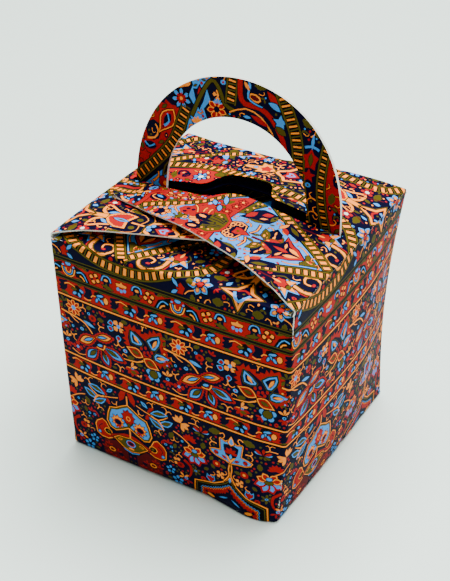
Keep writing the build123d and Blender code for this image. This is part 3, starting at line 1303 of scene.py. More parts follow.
def ring_band():
    """One period of the upper red band: half of it, from the ring to the bar, and its mirror image."""
    half, art = Art(), Art()
    half.paint([(2.4, 2.6), (4.8, 1.6), (7.2, 0.6), (8.8, -2.8), (7, -3.2), (4.2, -2), (3, -2)], black=0)
    half.leaf(3.2, 2.8, 6.4, 2.9, 1.3, black=0.2, olive=0).leaf(7, 2, 8.8, 2.6, 1.2, navy=0)
    half.paint([(13.4, 2.6), (16.8, 2.8), (16.8, -0.6), (17.2, -2.4), (14, -2.4), (14.4, -0.4)], navy=0)
    half.line([(3.4, -0.2), (5.4, 0.5), (6.8, -0.8), (7.7, -2.7)], 0.75, 0.3, black=0.2, blue=0)
    half.line([(4.6, -1), (5.8, -1.4), (6.6, -2.6)], 0.7, 0.3, peach=0)
    half.leaf(5.2, 3.2, 8, 1.6, 1.1, olive=0)
    half.leaf(2.4, -3, 5.6, -2.5, 1.1, olive=0)
    half.stamp(flower(2.3, 4, "peach", "red", "black", turn=70), 10.8, 0.1)
    half.leaf(12.6, -2.2, 14.4, -1.4, 1.2, red=0)
    half.line([(13.6, 0.2), (14.2, 2.1), (15.7, 2.6), (17, 1.8), (17.3, 0.4)], 0.7, black=0.2, blue=0)
    half.oval(15.4, 0.9, 0.9, 0.6, steps=6, peach=0)
    half.leaf(13.6, -1.2, 18.4, -2.2, 1.5, black=0.2, olive=0)
    half.leaf(15.6, 0, 15.4, -2.4, 1, olive=0)
    half.leaf(18.6, 3.2, 21.4, 2.6, 0.9, olive=0)
    art.both(half)
    for radius, ink in ((2.7, "peach"), (1.85, "blue"), (1.05, "peach")):
        bowl = [(-radius, 0.7), (-radius * 0.75, -radius * 0.62), (0, -radius),
                (radius * 0.75, -radius * 0.62), (radius, 0.7)]
        art.line(bowl, 0.55, black=0.2, **{ink: 0})
    art.oval(0, 2.3, 1.3, 0.9, black=0.2, blue=0)
    for x in (-2.2, 2.2):
        art.oval(x, 1.4, 0.6, 0.5, steps=6, blue=0)
    bar = Art().whole([(0, 2.4), (0.5, 1.6), (2.2, 1.3), (1.9, 0.3), (0, 0.2)], black=0.15, peach=0)
    for x, y in ((-1.3, -0.7), (0, -1.1), (1.3, -0.7)):
        bar.oval(x, y, 0.75, 0.85, steps=6, blue=0)
    return art.stamp(bar, 21.5).stamp(bar, -21.5)


def comma_band():
    """A quarter period of the two narrow red bands."""
    art = Art()
    art.paint([(-9, 2.7), (-5.9, 2.4), (-5.4, -0.6), (-7, -2), (-9.4, -1.2), (-8.4, 0.8)], navy=0)
    art.paint([(1.8, 2.2), (5.6, 2.7), (5.2, -0.4), (3.6, -2.1), (1.6, -1.6)], navy=0)
    art.paint([(-14, 1.4), (-11.6, 2.2), (-9.6, 0.6), (-10.4, -2.6), (-13.4, -2.2)], black=0)
    art.paint([(-4.6, 2.2), (-2.4, 2.8), (-0.4, 1.8), (-1.6, 0.4), (-5, 0.2)], black=0)
    art.leaf(-14.6, 0.1, -12, 0.5, 1.4, black=0.15, olive=0)
    art.leaf(-19.6, -2.4, -16.4, -2.2, 1.2, olive=0)
    art.leaf(-11.8, 2.6, -9.8, 2.4, 1, olive=0)
    art.leaf(-3.4, 2.9, -0.8, 2.7, 1, olive=0)
    art.leaf(2.6, -2.7, 5.6, -2.5, 1.2, olive=0)
    art.leaf(-7.6, -2.8, -6.2, -2.6, 0.8, olive=0)
    art.line([(-17.4, 1.1), (-15.4, 1.9), (-12.8, 1.1)], 0.6, 0.3, maroon=0.15, peach=0)
    art.line([(-9.2, -1.7), (-7.8, -2.2), (-6.2, -1.7)], 0.5, peach=0)
    art.line([(-6.2, -0.6), (-5.4, 0.4), (-4.2, 0.4)], 0.5, peach=0)
    for x, y, turn in ((-13.2, -1.3, 30), (-11.2, -1.5, -60), (-10.2, 0.3, -30)):
        art.oval(x, y, 1.1, 0.7, turn, 6, black=0.2, blue=0)
    for x, y, a, turn in ((-2.4, 1.2, 1.7, 15), (-2.6, -0.2, 1.3, -35), (-3.8, -0.9, 1.1, 70),
                          (-1.6, -0.9, 1.2, -50)):
        art.oval(x, y, a, 0.62, turn, 6, black=0.2, blue=0)
    art.oval(0, 0, 1, 1.35, steps=7, black=0.25, peach=0)
    for x, y in ((1.7, 0.6), (1.5, -1)):
        art.leaf(x - 0.7, y, x + 0.8, y + 0.2, 1, red=0)
    return art


# The wide navy band

def wing(x0, y0, x1, y1, width, core):
    art = Art()
    outline = leaf(x0, y0, x1, y1, width, 0.55, steps=6)
    art.teeth(grown(outline, 0.75), 0.35, 1.2, red=0)
    art.paint(outline, black=0.3, **({"peach": 0} if core == "blue" else {"blue": 0}))
    x = (x1 - x0) * 0.5
    y = (y1 - y0) * 0.5
    core_leaf = leaf(x0 + x * 0.25, y0 + y * 0.25, x0 + x * 1.45, y0 + y * 1.45, width * 0.42)
    return art.paint(core_leaf, black=0.3, **{core: 0})


def butterfly():
    art = Art()
    art.line([(-14.2, 6.4), (-8, 5.5), (-3.7, 4.2), (-0.7, 1)], 0.8, 0.3, black=0.2, peach=0)
    art.line([(-10.2, 5.6), (-8.4, 4.2), (-6.6, 3.4)], 0.55, 0.4, peach=0)
    art.stamp(wing(0.8, -5, -3.9, -9.9, 3.5, "olive"))
    art.stamp(wing(3.2, -4.6, 5.6, -9.9, 2.6, "olive"))
    art.stamp(wing(4, -2.8, 12.2, -5.4, 3.2, "olive"))
    art.stamp(wing(0.2, -0.4, -6.8, -4.2, 3.2, "blue"))
    art.stamp(wing(0.4, 0.2, 7.4, 2.2, 2.6, "blue"))
    art.line([(4.4, -1.8), (3.6, -4), (0.6, -3.8)], 0.7, 0.3, black=0.2, peach=0)
    return art.oval(2.2, -2.6, 1.3, 0.7, 15, 7, black=0.2, blue=0)


def almond(x0, y0, x1, y1):
    outline = leaf(x0, y0, x1, y1, 4.2, 0.58, steps=6)
    art = Art().paint(outline, black=0.3, peach=0, maroon=-0.45, red=-0.6, maroon_=-1.1)
    x, y = (x0 + 1.2 * x1) / 2.2, (y0 + 1.2 * y1) / 2.2
    return art.oval(x, y, 1.5, 0.7, degrees(atan2(y1 - y0, x1 - x0)), 7, olive=0)


def kite(points, flame):
    """A light blue kite with a navy field and an orange flame."""
    art = Art().paint(points, olive=0.45, black=0.25, blue=0, navy=-0.75)
    return art.leaf(*flame, 1.3, 0.4, peach=0)


def flame_palmette():
    """A palmette with red teeth, three kites and two almonds; its origin is where the kites meet."""
    art = Art()
    body = [
        (-7.4, 3), (-6.6, 7.2), (-3, 7.4), (0.6, 5.2), (2, 7.2), (5, 8.6), (7.4, 8.2), (7.2, 4),
        (8, 1.4), (10.6, -0.2), (9, -3), (5.6, -4), (2, -3), (-3, -2), (-6.6, -0.6),
    ]
    art.teeth(body, 1.5, 1.9, black=0.2, red=0)
    art.paint(grown(body, -0.9), navy=0)
    for x, y in ((-1, 0.4), (0.7, 1.2), (1.6, -0.4), (3.2, 0.2), (2.4, -1.4), (0.2, -0.9)):
        art.oval(x, y, 0.6, 0.75, steps=6, red=0)
    art.stamp(kite([(-5.2, 6.2), (-2.5, 4.6), (-0.5, 2.5), (-0.9, 1.7), (-2.6, 1.2), (-4.9, 1.5),
                    (-5.5, 3.8)], (-4, 4.6, -1.9, 1.8)))
    art.stamp(kite([(6, 7.6), (6.5, 5.8), (6, 3.8), (4.6, 1.6), (3.2, 1.3), (1.2, 4.4), (3.3, 6.3)],
                   (5.2, 5.8, 3.4, 2)))
    art.stamp(kite([(10.4, -0.1), (8.3, -1.9), (6.3, -2.7), (4.5, -2.3), (4.1, -0.8), (5, 0.5), (7.6, 0.7)],
                   (8.6, -0.6, 5, -1.3)))
    art.line([(0, -4.2), (-3, -6), (-9, -6.7)], 0.8, 0.5, black=0.2, peach=0)
    art.stamp(almond(-7.4, -0.9, -0.2, -3))
    return art.stamp(almond(6.2, -6.2, -0.4, -3.4))


def wide_band():
    """One half period of the navy band between the narrow red ones, on the butterfly's joint."""
    art = Art()
    art.stamp(tuft(2.6, "olive", (20, 90, 160)), -12.6, 10.2, 20)
    art.stamp(flower(3.2, 8, "red", "blue", "peach"), -8.4, 9)
    art.stamp(hook(), -4.4, 10.8, -60)
    art.stamp(bud("red", "maroon", 1.7), -0.3, 7.6).stamp(bud("blue", "navy", 0.8), -1.8, 9)
    art.leaf(-4.6, 5.4, 0.8, 3.8, 1.6, black=0.2, blue=0)
    art.stamp(tuft(2, "red", (10, 60, 120)), 3.8, 10.2)
    art.stamp(green_leaf(2.6, 1.6), 3.2, 8.2).stamp(green_leaf(2.6, 1.5), 13.2, 11)
    art.stamp(green_leaf(2.4, 1.4), -1.6, 11.4, 30)
    for x, y, turn in ((7.4, 9.3, 200), (7.2, 6, 160), (10.6, 5, 270)):
        heart = Art().leaf(0, 0, 3.1, 0, 2.6, 0.4, black=0.3, blue=0, navy=-0.45, red=-0.6)
        art.stamp(heart, x + 1.6 * cos(radians(turn + 180)), y, turn)
    art.stamp(flower(2.7, 4, "peach", "blue", turn=45), 10.8, 8.4)
    art.stamp(hook(), 3, 5.2, 100).stamp(hook(), 10.6, 1.2, 190, 1.1)
    art.stamp(hook(), -9.3, -2.9, 130).stamp(hook(), 10.4, -8.8, 0, 1.1)
    art.stamp(bud("blue", "red", 1.1), 13.2, -0.6).stamp(bud("blue", "olive", 1), -5.4, 1.4)
    art.stamp(green_leaf(3.2, 1.6), 15.4, -2.6, 15).stamp(green_leaf(2.6, 1.2), 19, -4.2)
    art.stamp(flower(2.3, 4, "red", "blue"), -8.1, -7.2)
    art.stamp(tuft(2.6, "peach", (40, 90, 150)), -12.6, -4.6).stamp(bud("blue", "navy", 0.9), -12.6, -5.8)
    art.stamp(tuft(2.4, "red", (200, 250, 290, 340)), -12.4, -6.6)
    art.line([(-10.8, -8.9), (-7.6, -10.2), (-4.6, -9.3)], 0.5, 0.3, peach=0)
    art.stamp(tuft(2.9, "peach", (20, 70, 210)), 15.4, -6.6).stamp(bud("blue", "navy", 0.7), 16, -7)
    art.stamp(tuft(3.4, "red", (190, 230, 270, 310, 350)), 15.8, -7.4, 0, 0.9)
    art.stamp(green_leaf(2.2, 1.2), 16.4, -8.4)
    for i in range(5):
        a = radians(20 + 72 * i)
        art.oval(24.8 + 2 * cos(a), -6 + 2 * sin(a), 1.25, blue=0)
    art.oval(24.8, -6, 1.7, black=0.3, olive=0)
    art.stamp(tuft(2.2, "red", (180, 230, 280)), 22.8, -7.8).stamp(hook(), 20.4, 11.6, 0, 0.9)
    art.stamp(flame_palmette(), 21, 2.6).stamp(butterfly())
    field = [(-14.4, -10.6), (28.4, -10.6), (28.4, 12.2), (-14.4, 12.2)]
    strewn(art, field, "navy", on_navy(), 2.2, 1.1)
    return strewn(art, field, "navy", dots("olive", "red"), 1.6, 0.75)


# The lower navy field, half of it from the heart's axis to the palmette's, heights from the base

def pod(x0, y0, x1, y1, width, bend=0):
    outline = leaf(x0, y0, x1, y1, width, 0.5, bend)
    return Art().paint(outline, black=0.3, blue=0, black_=-0.6, olive=-0.75)


def blossom():
    art = Art()
    for x0, y0, x1, y1 in ((2.8, 4.2, 5.2, 1.4), (4.2, 0.6, 6.2, -2.2)):
        art.teeth(leaf(x0, y0, x1, y1, 1.5, steps=4), 0.3, 0.8, black=0.2, red=0)
    art.stamp(pod(-3.6, 3.2, 4.4, 1.2, 3, 0.5)).stamp(pod(-5.6, 1, 0.8, -2, 3.2, -0.4))
    art.stamp(pod(-2.2, -4, 4.8, -0.4, 2.8, -0.6))
    art.line([(3.8, 0.4), (0.6, -0.4), (-3.4, 2.6)], 0.9, 0.6, peach=0)
    return art.line([(1, -0.4), (-0.6, -2.2), (-1.4, -4.6)], 0.9, 0.6, peach=0)


def heart_medallion():
    """Right half and left half alike: a light blue trilobe over a lens, with red lobes beside them."""
    art = Art()
    side = Art()
    lobe = [(8.6, 13.6), (10.6, 17.6), (12.4, 18.6), (15.2, 16.6), (16.2, 14.6), (15.8, 10.6), (13.6, 9.2),
            (10.4, 9.4), (7.2, 11.2)]
    side.paint(lobe, black=0.4, peach=0, maroon=-0.45, red=-0.6)
    side.oval(10.2, 13.2, 2, 1.7, black=0.2, peach=0, black_=-0.4)
    side.oval(10, 13.2, 0.7, steps=6, olive=0).oval(14.4, 11.4, 0.8, steps=6, black=0.2, blue=0)
    side.line([(12.6, 15.8), (14.4, 14), (13.6, 12.4)], 0.6, 0.4, maroon=0)
    side.paint([(2, 12), (8.6, 9.4), (12.4, 9), (13.6, 3), (13, 0.4), (2, 0.2)], maroon=0)
    for x, y in ((4.6, 2), (8.2, 1.2), (11.4, 2.4), (10.6, 7.2), (12.4, 5.2), (6.6, 5)):
        side.stamp(tuft(1.9, "red", (20, 90, 160)), x, y - 0.6)
    side.oval(9.4, 4.6, 1.6, 1.2, black=0.2, peach=0, maroon=-0.5)
    side.oval(5.4, 3.6, 1.2, 0.9, navy=0)
    art.both(side)
    moustache = mirror([(0, 15.9), (2.8, 15.4), (6.4, 13.6), (9.2, 12.4), (8, 10.6), (3.4, 12.6), (0, 14)])
    art.paint(moustache, black=0.3, red=0)
    outer = mirror([(0, 30.2), (2.7, 28.7), (5.4, 26.9), (8.3, 26), (9.5, 22.9), (10.3, 19), (9, 16.2),
                    (6.4, 15.3), (2.9, 17.1), (0, 18.9)])
    art.paint(outer, black=0.35, peach=0, black_=-0.45, olive=-0.55, blue=-1.1)
    for x in (-5, 5):
        art.star(x, 20.4, 3, 2, 9, black=0.25, peach=0)
        art.oval(x, 20, 1.5, 1.2, red=0.35, navy=0)
        art.stamp(tuft(2, "red", (250, 290, 330) if x < 0 else (210, 250, 290)), x, 19)
    art.leaf(0, 27.6, 0, 19.6, 4.6, 0.5, black=0.3, olive=0)
    art.star(0, 24.2, 3, 2.2, 9, tall=1.15, black=0.25, red=0)
    art.oval(0, 23.6, 1.1, 1.2, peach=0, red=-0.4)
    basin = mirror([(0, 6.2), (3.2, 7.2), (6.6, 10.4), (7.2, 12.2), (4, 9.4), (0, 8.4)])
    art.paint(basin, black=0.35, blue=0)
    lens = mirror([(0, 14.6), (1.2, 14), (5.4, 13.4), (8, 11.6), (6, 10), (3.6, 8.2), (0, 7.2)])
    art.paint(lens, black=0.35, peach=0, maroon=-0.35, olive=-0.5)
    for x in (-4.8, 4.8):
        art.oval(x, 11.8, 1.2, 0.6, 20 * (1 if x < 0 else -1), 6, peach=0, black=-0.3)
    art.oval(0, 11.4, 2.4, 1.9, black=0.2, blue=0, red=-0.5, navy=-1)
    art.oval(0, 8.9, 1.5, 0.6, steps=6, peach=0)
    art.line([(0, 19.2), (0.2, 17), (0, 14)], 0.7, peach=0)
    for side_x in (1, -1):
        top = [(0, 36.2), (side_x * 2.2, 36), (side_x * 3.6, 33.4), (side_x * 3.3, 30.6),
               (side_x * 1.4, 32.2)]
        art.paint(top, black=0.25, red=0)
    return art.line([(0, 34), (0, 32), (0, 29.9)], 0.7, peach=0)


def lower_half():
    art = Art()
    art.stamp(blossom(), 14.2, 29.2, flip=True)
    art.stamp(pod(6, 34.6, 9.2, 32.2, 1.8)).stamp(hook(), 10.8, 34.8, 20, 0.9)
    art.line([(4, 31.6), (7.4, 30.4), (10.2, 29.8)], 0.45, peach=0)
    art.stamp(hook(), 5.2, 28.4, 200, 0.9).stamp(hook(), 17, 34.2, -20, 1.1)
    art.stamp(hook(), 13.2, 23.2, 40, 1).stamp(hook(), 20, 22.6, 190, 0.9)
    art.stamp(tuft(3.8, "peach", (-70, -30, 5, 85, 125, 155)), 22.8, 31.4)
    art.line([(26, 33), (29, 33.2), (31.2, 31.8)], 0.5, 0.3, peach=0)
    art.stamp(hook(), 28.8, 34.8, 0, 0.8)
    fan = Art()
    for degree, ink in ((10, "blue"), (170, "blue"), (35, "red"), (145, "red"), (90, "red"), (250, "olive"),
                        (290, "olive"), (220, "olive")):
        a = radians(degree)
        fan.leaf(0.4 * cos(a), 0.4 * sin(a), 3.6 * cos(a), 2.4 * sin(a) + 0.6, 1.2, 0.6, steps=4, black=0.2,
                 **{ink: 0})
    art.stamp(fan, 31, 30.4).stamp(hook(), 35.6, 28.4, 90, 1.1)
    art.stamp(tuft(3, "red", (0, 30, 60, 90, 120, 150, 180)), 26.2, 24.8)
    art.line([(19.6, 26.6), (23, 25.2), (27, 22.4)], 0.5, peach=0)
    art.stamp(green_leaf(3.4, 2), 18.6, 24.2, 60).stamp(green_leaf(3, 2), 31.8, 24.8, 80)
    art.stamp(green_leaf(4.8, 2.6), 36.4, 33.6, 10)
    art.stamp(tuft(2.2, "red", (30, 90, 150)), 17.2, 19.6).stamp(bud("blue", "navy", 0.8), 16, 18.6)
    art.stamp(bud("blue", "navy", 0.8), 18.4, 18.4).stamp(green_leaf(2.4, 1.4), 20, 19.6, 70)
    carnation = Art()
    for degree in (205, 250, 290, 335):
        a = radians(degree)
        carnation.leaf(0, 0, 5.2 * cos(a), 5 * sin(a), 2.6, 0.62, black=0.25, red=0.5, blue=-0.15)
    for degree in (20, 60, 120, 160):
        a = radians(degree)
        carnation.leaf(0, 0, 4.8 * cos(a), 4.2 * sin(a), 2.8, 0.6, black=0.25, peach=0.1, red=-0.4)
    carnation.oval(0, -0.4, 1.6, 1, black=0.2, olive=0).oval(0, 1.4, 1.2, 0.9, black=0.2, blue=0)
    art.stamp(carnation, 28.2, 19.2)
    art.stamp(bud("red", "peach", 1.8), 37.4, 19).stamp(green_leaf(2.6, 1.3), 40, 18.8)
    art.stamp(green_leaf(2.2, 1.4), 35.2, 20.6, 60)
    art.stamp(green_leaf(2.2, 1.3), 35.8, 17, -50).stamp(flower(2, 4, "peach", "peach", turn=45), 39, 14.4)
    art.stamp(curl(), 41, 16).stamp(hook(), 21.6, 15.8, 60, 0.9).stamp(green_leaf(2.2, 1.3), 33, 14.4, 30)
    heart = Art().whole([(0, -2.4), (1.9, -0.6), (1.6, 1.6), (0.7, 0.8), (0, 1.4)], black=0.25, blue=0.1,
                        navy=-0.3, red=-0.45)
    art.stamp(heart, 34.8, 10.8).stamp(bud("red", "maroon", 1.2), 31.6, 8.8).stamp(curl(), 36, 13.2)
    art.stamp(tuft(2.4, "olive", (30, 90, 150, 210, 270, 330)), 28.4, 11)
    art.stamp(bud("blue", "navy", 0.7), 28.4, 11)
    art.line([(23.6, 14.4), (26.2, 12.4), (26.4, 9), (25.2, 6.4)], 1.3, 0.5, black=0.2, red=0)
    for x, y in ((19.8, 13.4), (21.2, 13.6), (20, 11.4)):
        art.oval(x, y, 0.8, steps=6, peach=0)
    art.stamp(bud("red", "maroon", 1.7), 22, 11.2)
    art.stamp(flower(2.2, 5, "blue", "navy"), 17.4, 6.8).stamp(flower(2.6, 5, "blue", "navy"), 20.2, 2.4)
    art.stamp(tuft(2.6, "peach", (40, 130, 200)), 23.2, 5.6).stamp(bud("blue", "red", 1), 24, 5.2)
    art.stamp(tuft(2.4, "red", (200, 270, 340)), 24.6, 4.4)
    known = len(art.shapes)
    art.stamp(heart_medallion()).stamp(tulip(), 43)
    start = len(art.shapes)
    field = [(0.6, 1), (42.4, 1), (42.4, 35.4), (0.6, 35.4)]
    strewn(art, field, "navy", on_navy(), 2.2, 1.1)
    strewn(art, field, "navy", dots("olive", "red"), 1.6, 0.75)
    strewn(art, field, "maroon", [dot("red", 0.8), dot("olive"), dot("peach", 0.4)], 1.8, 0.8)
    art.shapes = art.shapes[:known] + art.shapes[start:]
    return art


def tulip():
    """The light blue palmette on its stem, and the pointed arch that the stem parts into."""
    art = Art()
    arch = [(0.2, 16.2), (2.6, 12.2), (6.9, 9.2), (15.4, 6.8), (16, 0.4), (17.4, -3)]
    field = mirror([(0, 15.4)] + [(x, y) for x, y in arch[1:]])
    art.paint(field, black=0.3, peach=0, black_=-0.55, olive=-1, black__=-1.4)
    inner = mirror([(0, 11.4), (3.4, 8.6), (7.6, 6.2), (12.4, 4.6), (12.8, 0.2), (13, -3)])
    art.teeth(inner, 0.5, 1.3, 0.5, blue=0, black=-0.3, peach=-0.6, red=-0.8, black_=-2.2, navy=-2.4)
    for x in (-1, 1):
        art.leaf(x * 0.6, 4.8, x * 5, 2.8, 1, blue=0)
        art.oval(x * 8.4, 1.8, 1.8, 0.8, x * 14, 7, black=0.2, peach=0)
        art.line([(x * 0.3, 21.4), (x * 0.7, 18.6), (x * 0.4, 15.8), (x * 2.6, 12.2)], 0.6, black=0.25,
                 peach=0)
    art.leaf(0, 15.2, 0, 12.2, 1.2, blue=0)
    cup = mirror([
        (0, 34.2), (1.1, 32.2), (2.3, 31.2), (4.3, 32), (4.8, 31.6), (4.4, 26.6), (6.6, 26.2), (8.8, 25.4),
        (8, 23.8), (5.8, 22.7), (2.6, 22.2), (0, 21.4),
    ])
    art.paint(cup, black=0.35, peach=0, maroon=-0.35, blue=-0.5)
    inside = mirror([(0, 31), (1, 30.2), (3, 29.6), (2.6, 26.4), (2, 25.2), (0, 23)])
    art.paint(inside, navy=0)
    art.whole([(0, 34.2), (0.9, 32.6), (1.4, 30.8), (0, 29.6)], black=0.2, peach=0, blue=-0.4)
    art.stamp(tuft(2.6, "red", (10, 50, 90, 130, 170)), 0, 26.2, 0, 1.1)
    art.whole([(0, 21.8), (1, 23.2), (2, 25.2), (0.8, 24.6), (0, 23.6)], black=0.15, peach=0)
    art.leaf(0, 23.6, 0, 26.2, 1.5, black=0.15, blue=0)
    for x in (-1, 1):
        art.oval(x * 5.8, 24.5, 0.8, steps=7, black=0.2, red=0)
        art.leaf(x * 1.6, 23.2, x * 3.4, 24.2, 1, black=0.15, red=0)
    curls = Art().line([(4.6, 33.4), (3.2, 34.2), (2.6, 33), (3.4, 31.8)], 0.55, 0.3, peach=0)
    return art.both(curls)


# The top: medallions inside a rope, and a stem of palmettes between them

def medallion():
    art = Art()
    half_frame = [(9, -2.5), (17.5, 0.8), (21, 3), (25.5, 6.5), (28.4, 11.5), (29.2, 19), (29, 28),
                  (29.4, 36)]
    half_frame += [(31, 46), (34, 57), (35.2, 67), (34.2, 78), (31, 88), (27, 98)]
    frame_line = [(-x, y) for x, y in reversed(half_frame)] + [(0, -3.4)] + half_frame
    art.paint(frame_line, navy=0)
    art.paint([(-28.6, 42), (28.6, 42), (32.8, 57), (33, 68), (31, 78), (25, 96), (-25, 96), (-31, 78),
               (-33, 68), (-32.8, 57)], red=0)
    side = Art()
    side.stamp(star_flower(), 15.9, 9.8).stamp(paisley(), 8.9, 3.4, flip=True)
    side.stamp(curl(), 10.4, 8.6, 20).stamp(bud("red", "red", 0.9), 3.9, -0.4)
    side.stamp(green_leaf(3.4, 1.8), 22.4, 12.4, 40).stamp(flower(2.6, 5, "blue", "red"), 24, 20)
    side.stamp(star_flower(), 27.4, 27, 30, 0.8).stamp(green_leaf(3.6, 2), 22, 27, 60)
    side.stamp(curl(), 19.4, 18, 90).stamp(tuft(2.8, "peach"), 29, 37.4, 30)
    side.stamp(flower(3.2, 7, "blue", "white", "navy"), 27.4, 64.6).stamp(bud("navy", "red", 2), 27.6, 70.6)
    side.stamp(green_leaf(4.4, 2.8), 30.4, 57.6, 80).stamp(bud("white", "navy", 1.4), 26, 54.6)
    side.stamp(green_leaf(3.4, 1.6), 26.2, 74.6, 10).stamp(bud("navy", "peach", 1.6), 24.4, 48.4)
    side.stamp(flower(2.4, 5, "navy", "peach"), 20.6, 56.4).stamp(green_leaf(3.4, 1.6), 15.6, 66, 50)
    art.both(side)
    for x in (-1, 1):
        lower = [(x * 2, 0), (x * 17, 1), (x * 28, 10), (x * 30, 30), (x * 33, 42), (x * 26, 37)]
        strewn(art, lower, "navy", on_navy(), 2.3, 1.25)
    strewn(art, art.shapes[0][1], "navy", dots("red", "peach", "olive"), 1.6, 0.75)
    strewn(art, art.shapes[1][1], "red", on_red(), 2.4, 1.2)
    rhomb = mirror([(0, 4.2), (23, 37.6), (0, 71)])
    for x in (1, -1):
        art.stamp(rope([(0, 0.6), (x * 13.6, 19.6), (x * 25.6, 37.6)], 3.8, 2.5))
        art.stamp(rope([(x * 25.6, 37.6), (x * 12.8, 56.2), (0, 74.8)], 3.8, 2.5))
    art.paint(rhomb, black=0.35, blue=0)
    art.whole([(0, 5.8), (1.7, 8.2), (3.4, 10.8), (2.1, 11.4), (1, 10.6), (0, 11.6)], black=0.3, olive=0)
    art.leaf(0, 7.6, 0, 10.2, 1, peach=0)
    art.stamp(rhomb_heart())
    return art.stamp(rope(frame_line, 4.2, 2.85))


